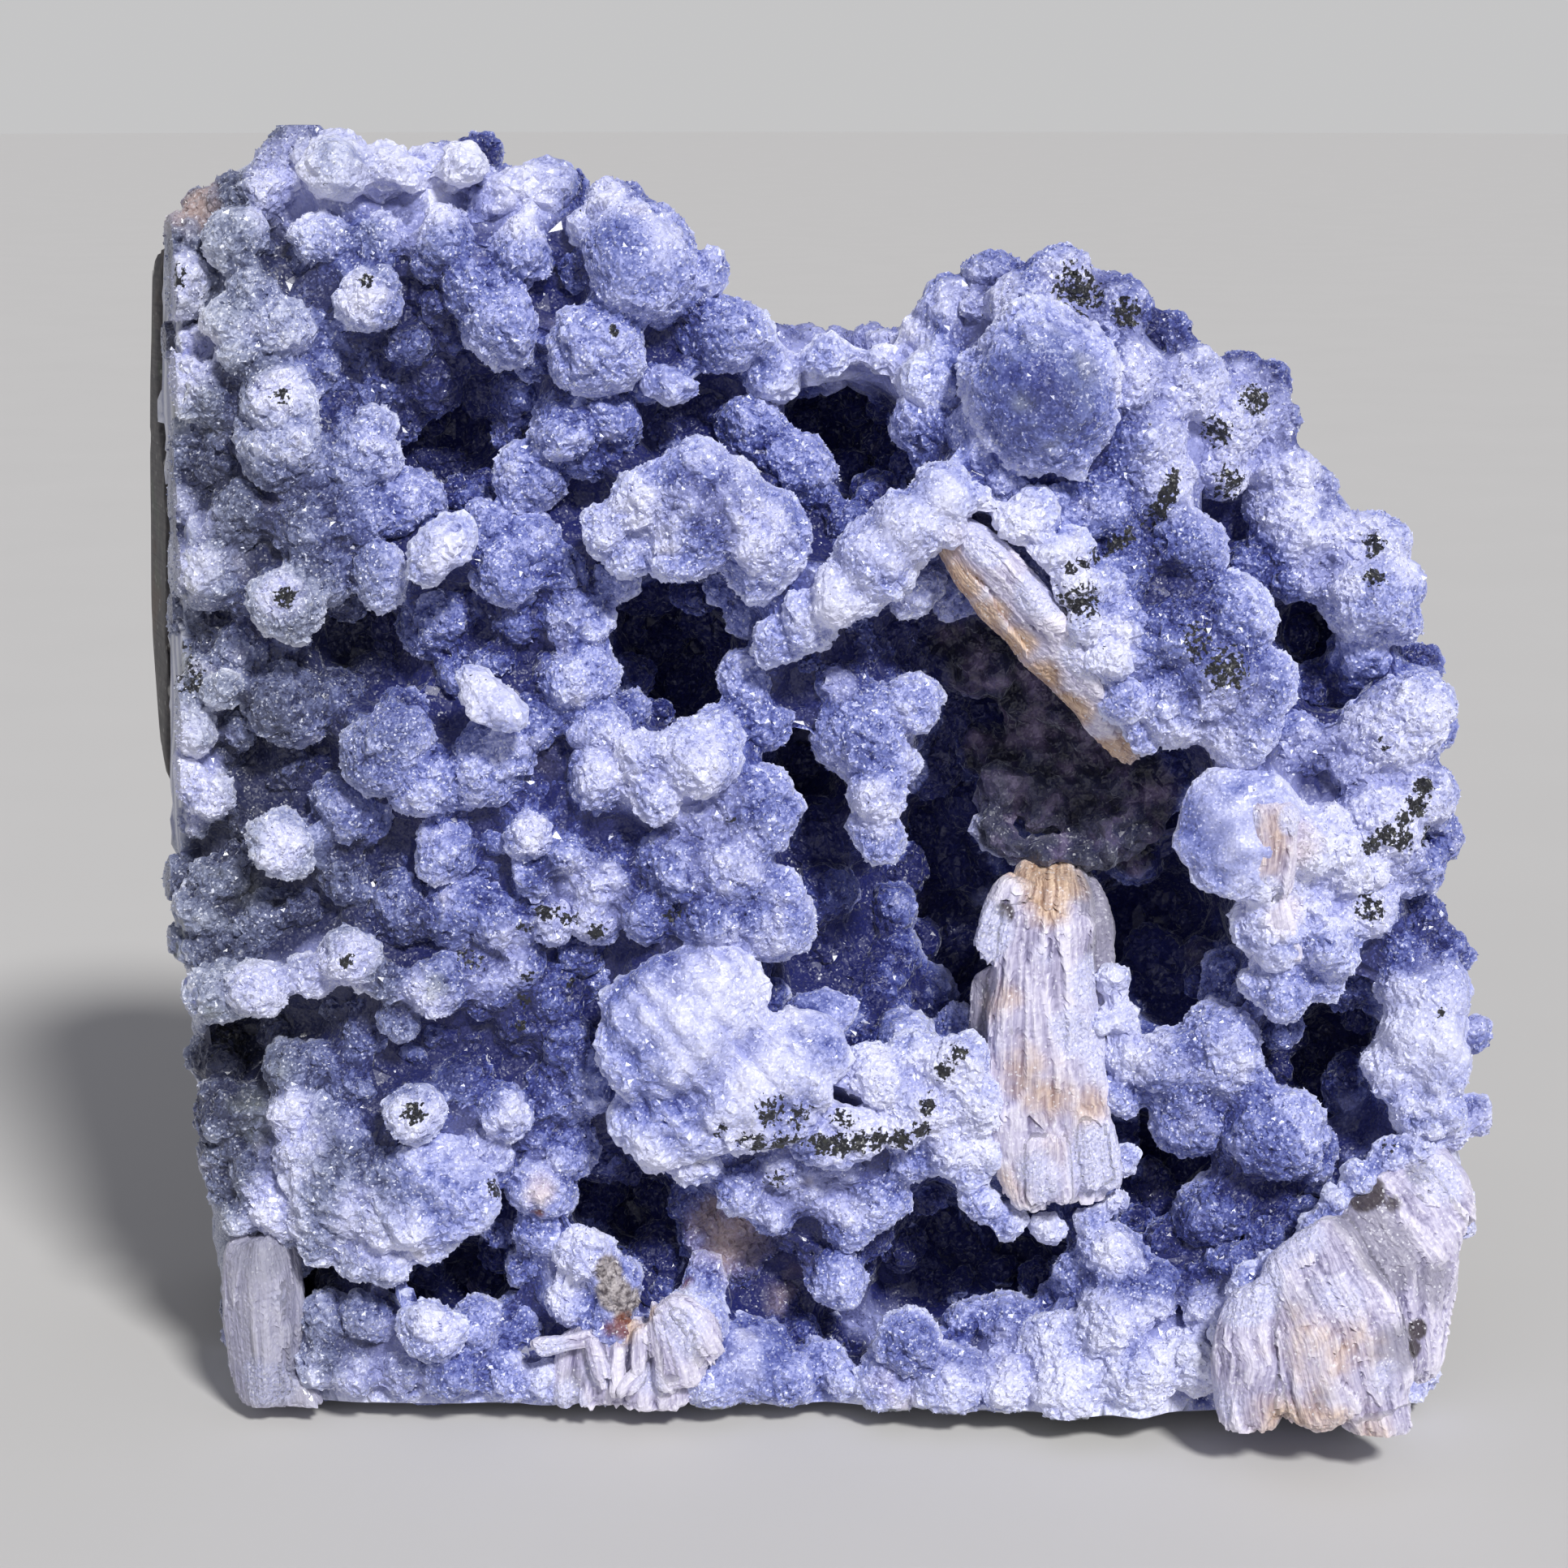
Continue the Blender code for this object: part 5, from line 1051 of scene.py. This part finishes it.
def stilbite_corner():
    """The fibrous mass at the lower right: upright fibres at the left, then slanting and steeper ones outside."""
    return sheaf("stilbite_corner_blades", 66, [
        ([(151.4, 160, 1), (149.4, 167, -2), (150.2, 175, -3)],
         [(158, 157, -1), (157.8, 166, -5), (158, 176.6, -6)], 8),
        ([(154.5, 156, 2), (157, 166, -5), (159, 176.8, -7)], [(165.5, 149, 3), (172, 160, -3), (174.6, 171, -4)], 9),
        ([(163, 150, 5), (168.5, 158, -1), (171.6, 170, -3)], [(174, 142, 8), (179.6, 151, 4), (175.8, 170, 0)], 8),
        ([(164, 150.6, 5), (171, 153, 2), (176.8, 159, 2)], [(173, 141.6, 9), (178.4, 141.6, 8), (181.6, 146, 7)], 7),
        ([(163, 165, -5), (166, 177.4, -7)], [(172, 164, -4), (174, 176.6, -5)], 7),
        ([(158, 161, -4), (152, 171, -5)], [(162, 166, -6), (158, 175, -7)], 4),
    ], melt=12, voxel=0.46, slip=0.18,
        ochre=[(164, 167, -10, 9, 0.6), (158, 176, -9, 6, 0.9), (163.5, 177, -10, 6, 0.9),
               (168.5, 177.5, -10, 5, 0.8), (158, 163, -7, 6, 0.4), (169, 171, -8, 5, 0.4)],
        brown=[(168.2, 147, 3, 3.2, 1.6), (175, 144.5, 4, 2.4, 1.2), (175.5, 150.6, 2, 2.2, 1.1),
               (151.6, 166.4, -3, 2.4, 1.4), (174.6, 163.8, -4, 1.8, 1.3), (174.2, 166.2, -5, 1.6, 1.3),
               (170, 140, 5, 2, 0.9), (171.5, 148.6, 2, 2, 0.9)],
        grey=[(150.5, 165, -2, 4, 1.2), (146, 161, 2, 4, 0.8), (171, 155, -2, 6, 1.1), (168, 151, 1, 6, 1),
              (172, 166, -7, 5, 0.9), (176, 158, -1, 5, 0.9), (163.5, 171.5, -9, 3, 0.6), (160, 160, -5, 4, 0.6)],
        dust=[(154, 159, -1, 7, 1.2), (160, 154, 1, 6, 1.1), (176, 146, 6, 6, 1.2), (152, 172, -4, 5, 0.8),
              (165, 160, -4, 6, 0.7), (170, 170, -7, 5, 0.6)])


def stilbite_clear():
    """The glassy block at the lower left corner."""
    return sheaf("stilbite_clear_blades", 67, [
        ([(28.4, 152.4, 14), (29.4, 163, 13.5), (31, 173, 13)],
         [(35.2, 151.6, 9.5), (35.8, 162, 8.6), (36, 173, 8.8)], 9),
        ([(30.4, 157, 10), (31.6, 172, 9.2)], [(35.2, 156.4, 8), (35.8, 171, 7.6)], 4),
        ([(34.2, 168, 9.4), (34, 173.4, 8.6)], [(38.6, 170.6, 8.6), (40, 173.4, 8)], 3.6),
    ], melt=5, depth=0.4,
        ochre=[(31.5, 171, 9, 2.6, 0.3)],
        brown=[(30.5, 154, 8, 2, 0.4)],
        grey=[(32, 154, 8, 5, 1.2), (31, 162, 9, 3.5, 0.5), (33, 166, 8, 2.6, 0.3)],
        dust=[(33, 170, 7, 5, 0.9), (30, 163, 9, 4, 0.4), (34.6, 160, 6, 3, 0.4)])


def stilbite_nodule():
    """Short blades that radiate under the broken nodule."""
    return sheaf("stilbite_nodule_blades", 69, [
        ([(79.6, 161, 5.6), (80.4, 166, 4.8), (80.8, 171.4, 4.6)],
         [(82.6, 160.4, 5.6), (85.4, 163.6, 5.2), (87.4, 169, 5.4)], 4),
        ([(81.6, 160.4, 5.4), (84, 163.6, 4.6), (86.6, 168.6, 4.8)],
         [(84, 159.2, 5.8), (87.6, 161.4, 5.6), (89.4, 165, 5.8)], 3.4),
        ([(80.2, 162, 3.8), (82, 170, 3.2)], [(81.4, 161.6, 3.8), (83.6, 169.6, 3.2)], 1.6),
        ([(82.6, 161.4, 4), (86.2, 168, 3.8)], [(83.6, 161, 4), (87.6, 167.2, 3.8)], 1.5),
        ([(73, 163.6, 5.4), (65.2, 165.2, 4.4)], [(73, 165.8, 5.2), (66, 167.4, 4.6)], 2),
        ([(72, 165.4, 4.8), (73.4, 170.6, 3.6)], [(73.8, 164.8, 4.6), (75.2, 170, 3.6)], 1.7),
        ([(78, 163.4, 4.6), (77.8, 168.8, 3.6)], [(79.8, 163.4, 4.6), (79.8, 168.6, 3.6)], 1.9),
        ([(78.6, 167.8, 4), (76.2, 171, 3.4)], [(79.8, 169.2, 4), (77.6, 172.2, 3.4)], 1.7),
        ([(75.6, 165.6, 5), (75.2, 171, 4.4)], [(76.8, 165.6, 5), (76.6, 171, 4.4)], 1.5),
        ([(69, 163, 8), (68, 173, 6.6)], [(87, 162, 8), (87, 173, 6.6)], 4.4),
    ], melt=2, depth=0.4, voxel=0.38, slip=0.35,
        ochre=[(77, 163.4, 5, 3.6, 1.1), (80.4, 161.6, 5, 1.8, 0.8)],
        brown=[(77.5, 162.4, 5, 1.6, 1), (74.6, 167.4, 7, 2.2, 1), (78, 170, 7, 1.8, 1)],
        grey=[(76, 169, 6, 3, 0.8), (71, 170, 6, 3, 0.8), (84, 170, 5, 2.4, 0.5)],
        dust=[(84, 164, 4, 6, 0.6), (68, 167, 4, 4, 0.7), (74, 169, 5, 4, 0.6), (80, 170, 4, 4, 0.6),
              (70, 172, 6, 4, 0.9)])


def stilbite_peach():
    """The small peach blade that lies in the clear plate, and the cream one under it."""
    return sheaf("stilbite_peach_blades", 71, [
        ([(153.4, 99.4, 5), (153.8, 109.4, 4.4)], [(160.2, 98.6, 5.2), (159.4, 110.4, 4.4)], 4.2),
        ([(155.4, 110.4, 5.6), (157, 118.4, 5.6)], [(158.4, 110, 5.6), (160.4, 118, 5.6)], 3),
    ], melt=8,
        ochre=[(156.6, 103, 2.5, 6.5, 0.75), (158, 112, 3, 4, 0.3)],
        brown=[],
        grey=[(159, 117, 3, 3, 0.5), (153, 108, 3, 2.5, 0.5)],
        dust=[(160, 101, 3, 3.4, 1), (153.4, 101, 3, 3, 0.9), (156, 110.4, 3, 3.4, 1.1), (158, 118, 3.4, 3.4, 1.1)])


GRAIN = template(bpy.ops.mesh.primitive_cone_add, vertices=3, radius1=0.5, radius2=0.0, depth=1.0, end_fill_type="NGON")


def quartz_grains(name, pieces, seed):
    """A field of tiny quartz points on the lumps, most of them where the crust is pale or stands out."""
    rng, count = np.random.default_rng(seed), POINTS_IN_A_FIELD
    corners, wants = [], []
    for obj in pieces:
        points, _ = points_of(obj)
        mesh = obj.data
        mesh.calc_loop_triangles()
        triangles = np.empty(len(mesh.loop_triangles) * 3, int)
        mesh.loop_triangles.foreach_get("vertices", triangles)
        triangles = triangles.reshape(-1, 3)
        values = {}
        for key in ("frost", "pale", "calm", "rock"):
            numbers = np.empty(len(points), np.float32)
            mesh.attributes[key].data.foreach_get("value", numbers)
            values[key] = numbers[triangles].mean(axis=1)
        corner = points[triangles]
        open_air = buried(corner.mean(axis=1)) < 1.0
        edge = np.cross(corner[:, 1] - corner[:, 0], corner[:, 2] - corner[:, 0])
        area = np.linalg.norm(edge, axis=1) / 2
        want = 0.2 + np.clip(values["frost"], 0, 1) + 0.6 * values["pale"]
        wants.append(area * open_air * want * (1 - 0.8 * values["calm"]) * (1 - values["rock"]))
        corners.append(corner)
    corners, wants = np.concatenate(corners), np.concatenate(wants)
    corner = corners[rng.choice(len(corners), size=count, p=wants / wants.sum())]
    spots = (corner * rng.dirichlet((1, 1, 1), count)[:, :, None]).sum(axis=1)
    up = np.cross(corner[:, 1] - corner[:, 0], corner[:, 2] - corner[:, 0])
    up = up / (np.linalg.norm(up, axis=1)[:, None] + 1e-12) + rng.normal(scale=0.5, size=(count, 3))
    up /= np.linalg.norm(up, axis=1)[:, None]
    side = np.cross(up, rng.normal(size=(count, 3)))
    side /= np.linalg.norm(side, axis=1)[:, None]
    size = rng.uniform(0.3, 0.6, count)
    shape, faces = GRAIN
    axes = np.stack([side, np.cross(up, side), up], axis=1) * size[:, None, None]
    points = (spots[:, None] + np.einsum("vi,nij->nvj", shape + (0, 0, 0.1), axes)).reshape(-1, 3)
    obj = new_piece(
        name, points, [[v + start for v in face] for start in range(0, len(points), len(shape)) for face in faces])
    move_points(obj, points)
    remember(obj, np.repeat(up, len(shape), axis=0))
    return obj


class Wire:
    """A socket that can be written into Python expressions."""

    def __init__(self, finish, socket):
        self.finish, self.socket = finish, socket

    def sum_with(self, operation, first, second):
        """One Math node on two values or wires."""
        return self.finish.add("ShaderNodeMath", {"operation": operation}, {0: first, 1: second})

    def __add__(self, other):
        return self.sum_with("ADD", self, other)

    def __radd__(self, other):
        return self.sum_with("ADD", other, self)

    def __sub__(self, other):
        return self.sum_with("SUBTRACT", self, other)

    def __rsub__(self, other):
        return self.sum_with("SUBTRACT", other, self)

    def __mul__(self, other):
        return self.sum_with("MULTIPLY", self, other)

    def __rmul__(self, other):
        return self.sum_with("MULTIPLY", other, self)


class Finish:
    """A material that is wired up step by step."""

    def __init__(self, name, **constants):
        self.material = bpy.data.materials.new(name)
        self.material.use_nodes = True
        self.nodes, self.links = self.material.node_tree.nodes, self.material.node_tree.links
        self.shader = self.nodes["Principled BSDF"]
        for key, value in constants.items():
            self.shader.inputs[key.replace("_", " ")].default_value = value

    def add(self, kind, settings=None, sockets=None, out=0):
        """Adds a node, sets it, then fills its sockets with values or wires."""
        node = self.nodes.new(kind)
        for key, value in (settings or {}).items():
            if key == "stops":
                self.set_stops(node.color_ramp, value)
            else:
                setattr(node, key, value)
        for key, value in (sockets or {}).items():
            self.fill(node.inputs[key], value)
        return Wire(self, node.outputs[out])

    def set_stops(self, ramp, stops):
        """Gives a colour ramp its stops: (place, red, green, blue)."""
        while len(ramp.elements) < len(stops):
            ramp.elements.new(0.5)
        for element, (position, *rgb) in zip(ramp.elements, stops):
            element.position = position
            element.color = colour(*rgb)

    def scale(self, share, *stops):
        """A colour read off a scale of such stops."""
        return self.add("ShaderNodeValToRGB", {"stops": stops}, {"Fac": share})

    def fill(self, socket, value):
        """Links a wire to a socket, or sets the socket to a value."""
        if isinstance(value, Wire):
            self.links.new(value.socket, socket)
        else:
            socket.default_value = value

    def feed(self, **wires):
        """Fills sockets of the shader by their names."""
        for key, value in wires.items():
            self.fill(self.shader.inputs[key.replace("_", " ")], value)

    def place(self):
        """Where a point of the piece lies."""
        return self.add("ShaderNodeTexCoord", out="Object")

    def kept(self, name, out="Fac"):
        """What a piece keeps at its points under a name."""
        return self.add("ShaderNodeAttribute", {"attribute_name": name}, out=out)

    def noise(self, where, size, detail=3.0):
        """Noise whose features are about this many millimetres wide."""
        return self.add("ShaderNodeTexNoise", {}, {"Vector": where, "Scale": 1 / MM / size, "Detail": detail})

    def cells(self, where, size, out="Distance"):
        """Cells about this many millimetres wide."""
        return self.add("ShaderNodeTexVoronoi", {}, {"Vector": where, "Scale": 1 / MM / size}, out)

    def ramp(self, share, low, high):
        """0 below low, 1 above high and smooth between."""
        return self.add("ShaderNodeMapRange", {"interpolation_type": "SMOOTHSTEP"},
                        {"Value": share, "From Min": low, "From Max": high})

    def blend(self, share, first, second):
        """A colour between two colours."""
        return self.add("ShaderNodeMix", {"data_type": "RGBA"}, {0: share, 6: first, 7: second}, 2)

    def tilted(self, where, strength, base=None):
        """A surface direction that jumps at random from facet to facet, for the glitter of the quartz."""
        away = self.add("ShaderNodeVectorMath", {"operation": "SUBTRACT"}, {
            0: self.cells(where, FACET, "Color"), 1: (0.5, 0.5, 0.5)})
        scaled = self.add("ShaderNodeVectorMath", {"operation": "SCALE"}, {0: away, "Scale": strength})
        facing = base or self.add("ShaderNodeNewGeometry", out="Normal")
        total = self.add("ShaderNodeVectorMath", {"operation": "ADD"}, {0: facing, 1: scaled})
        return self.add("ShaderNodeVectorMath", {"operation": "NORMALIZE"}, {0: total})

    def bump(self, height, strength, distance):
        """A surface direction from a height, this many millimetres at most."""
        return self.add("ShaderNodeBump", {}, {"Height": height, "Strength": strength, "Distance": distance * MM})


def colour(*rgb):
    """An opaque colour given as it looks on screen, from 0 to 255."""
    return (*((c / 255 / 12.92) if c <= 10.3 else ((c / 255 + 0.055) / 1.055) ** 2.4 for c in rgb), 1.0)


def chalcedony():
    """Sugary lavender chalcedony: painted navy shade in the pits, white where the grains stand out, a painted sheen on
    rims, painted highlights on facets, with its specks and coloured patches.
    """
    f = Finish(
        "sugary_chalcedony", Coat_Weight=0.25, Coat_Roughness=0.15, IOR=1.54, Specular_IOR_Level=0.5,
        Sheen_Weight=0.5, Sheen_Roughness=0.4, Sheen_Tint=(0.84, 0.86, 1.0, 1.0))
    where = f.place()
    calm, cut, frost = f.kept("calm"), f.kept("cut"), f.kept("frost")
    crumb = f.cells(where, FACET, "Color")
    grainy = (1 - calm * 0.6) * (1 - cut * 0.93)
    tone = frost + (crumb - 0.5) * 0.42 * grainy
    # The scale runs from navy, where the painted shade of pits and hollows takes the tone down, to white.
    body = f.scale(
        tone, (0.0, 20, 26, 92), (0.2, 56, 65, 138), (0.42, 104, 114, 180), (0.66, 162, 168, 222),
        (0.95, 216, 220, 250))
    greyer = f.scale(tone, (0.0, 36, 40, 64), (0.35, 98, 104, 126), (0.65, 154, 160, 178), (1.0, 212, 215, 226))
    look = f.blend(f.kept("weathered") * 0.85, body, greyer)
    pale = f.blend(f.ramp(tone, 0.05, 0.85), colour(158, 163, 218), colour(230, 231, 255))
    look = f.blend(f.kept("pale") * 0.86, look, pale)
    look = f.blend(f.kept("moss") * 0.55, look, colour(122, 128, 116))
    look = f.blend(f.kept("peach") * 0.65, look, f.blend(crumb, colour(186, 158, 150), colour(222, 200, 190)))
    chips = f.noise(where, 1.1, 5.0)
    stone = f.scale(
        f.noise(where, 4.0, 6.0), (0.38, 8, 8, 30), (0.48, 28, 24, 54), (0.56, 68, 57, 86), (0.7, 128, 114, 146))
    look = f.blend(f.kept("rock") * 0.92, look, stone)
    sandy = f.scale(f.noise(where, 0.7), (0.35, 72, 62, 68), (0.6, 180, 172, 174))
    look = f.blend(f.kept("sand"), look, sandy)
    look = f.blend(f.kept("rust") * 0.85, look, colour(120, 58, 26))
    # Painted highlights: a few facets turned near white in the colour, as if catching the lamp.
    painted_glint = f.ramp(crumb, 0.82, 0.86) * grainy * f.ramp(frost, -0.1, 0.5) * (1 - f.kept("rock")) * (1 - f.kept("sand"))
    look = f.blend(painted_glint * 0.6, look, colour(244, 245, 255))
    speck = f.ramp(f.kept("speck") * 0.4 + f.noise(where, 0.65, 5.0), 0.71, 0.75)
    look = f.blend(speck, look, f.blend(f.ramp(chips, 0.55, 0.7), colour(8, 9, 20), colour(52, 54, 48)))
    bands = f.add("ShaderNodeMath", {"operation": "SINE"}, {0: f.kept("layers") * 2.3})
    agate = f.blend(f.ramp(bands + chips, -0.4, 1.4), colour(104, 110, 152), colour(200, 202, 214))
    agate = f.blend(f.kept("blotch") * 0.8, agate, colour(88, 94, 90))
    look = f.blend(cut, look, agate)
    f.feed(Base_Color=look, Roughness=0.28 + crumb * 0.35)
    f.feed(Normal=f.tilted(where, grainy * 0.8))
    return f.material


def stilbite(name, milky=0.0, **constants):
    """Pearly stilbite with fibres along each blade, coloured ochre and brown in places, darkened to purple where shade
    is painted, with painted highlights, and dusted with quartz.
    """
    f = Finish(name, **constants)
    where, fibre = f.place(), f.kept("fibre", "Vector")
    long_fibre = f.add("ShaderNodeVectorMath", {"operation": "MULTIPLY"}, {0: fibre, 1: (1.0, 1.0, 0.08)})
    threads = f.add("ShaderNodeTexNoise", {}, {"Vector": long_fibre, "Scale": 2.8, "Detail": 5.0})
    cloud = f.noise(where, 4.0, 4.0)
    # Crests lighter and grooves darker: painted shade in the grooves.
    tone = threads * 0.8 + f.kept("blade") * 0.22 + f.kept("fine") * 0.8 + f.kept("broad") * 0.2 + 0.02
    body = f.scale(tone, (0.1, 112, 106, 142), (0.36, 178, 172, 202), (0.7, 230, 225, 241))
    # A darker purple tone: painted shade on the column's shaded right side, and dull smudges on other blades.
    grey = f.ramp(f.kept("grey") + (cloud - 0.5) * 0.8, 0.2, 0.8)
    look = f.blend(grey * 0.75, body, f.blend(threads, colour(84, 82, 104), colour(168, 164, 182)))
    ochre = f.ramp(f.kept("ochre") + (cloud - 0.5) * 1.3, 0.1, 1.2)
    look = f.blend(ochre * 0.9, look, f.blend(f.ramp(threads, 0.3, 0.7), colour(152, 114, 82), colour(228, 196, 162)))
    look = f.blend(milky, look, f.blend(cloud, colour(150, 152, 190), colour(240, 240, 252)))
    # A near-black brown: partly the blades' own brown, partly painted shade under the ledge and in cracks and pits.
    brown = f.ramp(f.kept("brown") + (threads - 0.5) * 0.9, 0.25, 0.8)
    look = f.blend(brown * 0.9, look, colour(46, 32, 36))
    crumb = f.cells(where, FACET, "Color")
    dust = f.ramp(f.kept("dust") + (cloud - 0.5) * 0.9, 0.25, 0.7)
    look = f.blend(dust * 0.85, look, f.blend(crumb, colour(168, 172, 220), colour(236, 236, 255)))
    # Painted highlights: a few facets turned near white in the colour.
    painted_glint = f.ramp(crumb, 0.84, 0.88)
    look = f.blend(painted_glint * 0.5, look, colour(248, 248, 255))
    f.feed(Base_Color=look, Roughness=0.34 + threads * 0.3)
    f.feed(Normal=f.tilted(where, dust * 0.6 + 0.15, f.bump(threads, 0.7, 0.4)))
    return f.material


def basalt():
    """Dark basalt: broken and dull, with brown and green stains and white filled bubbles, smoother where sawn."""
    f = Finish("broken_basalt", IOR=1.5)
    where = f.place()
    cut = f.kept("cut")
    fine, blotch = f.noise(where, 1.4, 6.0), f.noise(where, 14.0, 4.0)
    body = f.scale(fine, (0.2, 30, 29, 33), (0.5, 58, 55, 58), (0.8, 92, 86, 84))
    look = f.blend(f.ramp(blotch, 0.52, 0.68) * 0.55, body, colour(92, 70, 50))
    look = f.blend(f.ramp(f.noise(where, 9.0, 4.0), 0.58, 0.7) * 0.5, look, colour(70, 82, 66))
    bubbles = f.cells(where, 6.5) + (f.noise(where, 1.5) - 0.5) * 0.12
    filled = (1 - f.ramp(bubbles, 0.13, 0.2)) * f.ramp(f.noise(where, 22.0), 0.45, 0.6)
    look = f.blend(filled, look, colour(206, 204, 200))
    dots = 1 - f.ramp(f.cells(where, 1.9), 0.12, 0.2)
    look = f.blend(dots * 0.5, look, colour(150, 150, 146))
    f.feed(Base_Color=look, Roughness=0.85 - cut * 0.35)
    flattened = f.add("ShaderNodeMapping", {}, {"Vector": where, "Scale": (1.0, 1.0, 26.0)})
    marks = f.noise(flattened, SAW_MARK)
    f.feed(Normal=f.bump(fine * (1 - cut * 0.8) + marks * cut * 0.4, 0.6, 0.5))
    return f.material


def studio_floor():
    """A pale floor, faintly clouded."""
    f = Finish("pale_floor", Roughness=0.7, Specular_IOR_Level=0.2)
    where = f.place()
    f.feed(Base_Color=f.blend(f.noise(where, 60.0), colour(203, 201, 198), colour(207, 205, 202)))
    return f.material


def dress(obj, material, slot, *nodes):
    """Gives a piece its material and hides the nodes it stands for; slot is not used."""
    obj.data.materials.clear()
    obj.data.materials.append(material)
    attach(obj, "root")
    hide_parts(*nodes)


def build_crust():
    """The ground, the lumps of every region with small ones between them, the smooth growths and the quartz points."""
    look = chalcedony()
    pieces = {"crust_ground": crust_ground(), "rim_lumps": rim_lumps()}
    fill = small_fill()
    for seed, (region, rows) in enumerate(LUMPS.items()):
        name = region if "lump" in region else f"{region}_lumps"
        voxel = RIM_VOXEL if region == "hollow_lining" else LUMP_VOXEL
        pieces[region] = crust_lumps(name, rows + fill[region], 100 + seed, voxel, MELTED_REGIONS.get(region, MELT))
    for name, rows in PLATES.items():
        pieces[name] = crust_plates(name, rows)
    left = [pieces[n] for n in ("left_peak", "left_field", "saddle")]
    right = [pieces[n] for n in ("right_peak", "right_wall", "brain_lump_and_finger", "hanging_pillar", "grey_boss")]
    low = [pieces[n] for n in ("middle", "lower_left", "lower_middle", "lower_right", "broken_nodule", "left_apron")]
    grains = [
        quartz_grains("quartz_grains_left", left, 81), quartz_grains("quartz_grains_right", right, 82),
        quartz_grains("quartz_grains_low", low, 83)]
    for obj in [*pieces.values(), *grains]:
        dress(obj, look, "chalcedony", "chalcedony_crust")


def build_stilbite():
    """The six bundles, glassy at the lower left corner and cream elsewhere."""
    cream = stilbite("cream_stilbite", Coat_Weight=0.2, Coat_Roughness=0.3, Sheen_Weight=0.3, IOR=1.5)
    clear = stilbite("glassy_stilbite", 0.55, Coat_Weight=0.5, Coat_Roughness=0.08, Transmission_Weight=0.35, IOR=1.5)
    dress(stilbite_column(), cream, "stilbite", "stilbite_column")
    dress(stilbite_ledge(), cream, "stilbite", "stilbite_ledge")
    dress(stilbite_corner(), cream, "stilbite", "stilbite_corner_mass")
    dress(stilbite_clear(), clear, "stilbite", "stilbite_clear_blade")
    dress(stilbite_nodule(), cream, "stilbite", "stilbite_nodule_sheaf")
    dress(stilbite_peach(), cream, "stilbite", "stilbite_peach_blade")


def build_stage():
    """A wide pale floor, a soft key light from the upper right, a weak fill from the left and a pale surround."""
    bpy.ops.object.select_all(action="DESELECT")
    bpy.ops.mesh.primitive_circle_add(vertices=96, radius=9.0, fill_type="NGON", location=(0, 0, 0))
    floor = bpy.context.active_object
    floor.name = "floor"
    floor.data.materials.append(studio_floor())
    world = bpy.data.worlds.new("studio")
    bpy.context.scene.world = world
    world.use_nodes = True
    nodes, links = world.node_tree.nodes, world.node_tree.links
    around = nodes["Background"].inputs
    around["Color"].default_value, around["Strength"].default_value = SURROUND
    seen = nodes.new("ShaderNodeBackground")
    seen.inputs["Color"].default_value = BACKDROP
    path, either = nodes.new("ShaderNodeLightPath"), nodes.new("ShaderNodeMixShader")
    links.new(path.outputs["Is Camera Ray"], either.inputs["Fac"])
    links.new(nodes["Background"].outputs[0], either.inputs[1])
    links.new(seen.outputs[0], either.inputs[2])
    links.new(either.outputs[0], nodes["World Output"].inputs["Surface"])
    for name, towards, angle, power in LAMPS:
        light = bpy.data.lights.new(name, "SUN")
        light.angle, light.energy = math.radians(angle), power
        lamp = bpy.data.objects.new(name, light)
        lamp.location = Vector(towards)
        lamp.rotation_euler = Vector(towards).to_track_quat("Z", "Y").to_euler()
        bpy.context.scene.collection.objects.link(lamp)


def build_camera():
    """The viewer of the reading frame."""
    camera = bpy.data.cameras.new("viewer")
    camera.sensor_fit = "HORIZONTAL"
    camera.angle = 2 * math.atan(FRAME_MIDDLE / EYE_REACH)
    viewer = bpy.data.objects.new("viewer", camera)
    viewer.location = EYE * MM
    viewer.rotation_euler = (math.pi / 2 - EYE_PITCH, 0, 0)
    bpy.context.scene.collection.objects.link(viewer)
    bpy.context.scene.camera = viewer


bpy.context.scene.view_settings.view_transform = "Standard"
build_crust()
build_stilbite()
dress(basalt_block(), basalt(), "basalt", "basalt_matrix")
build_stage()
build_camera()
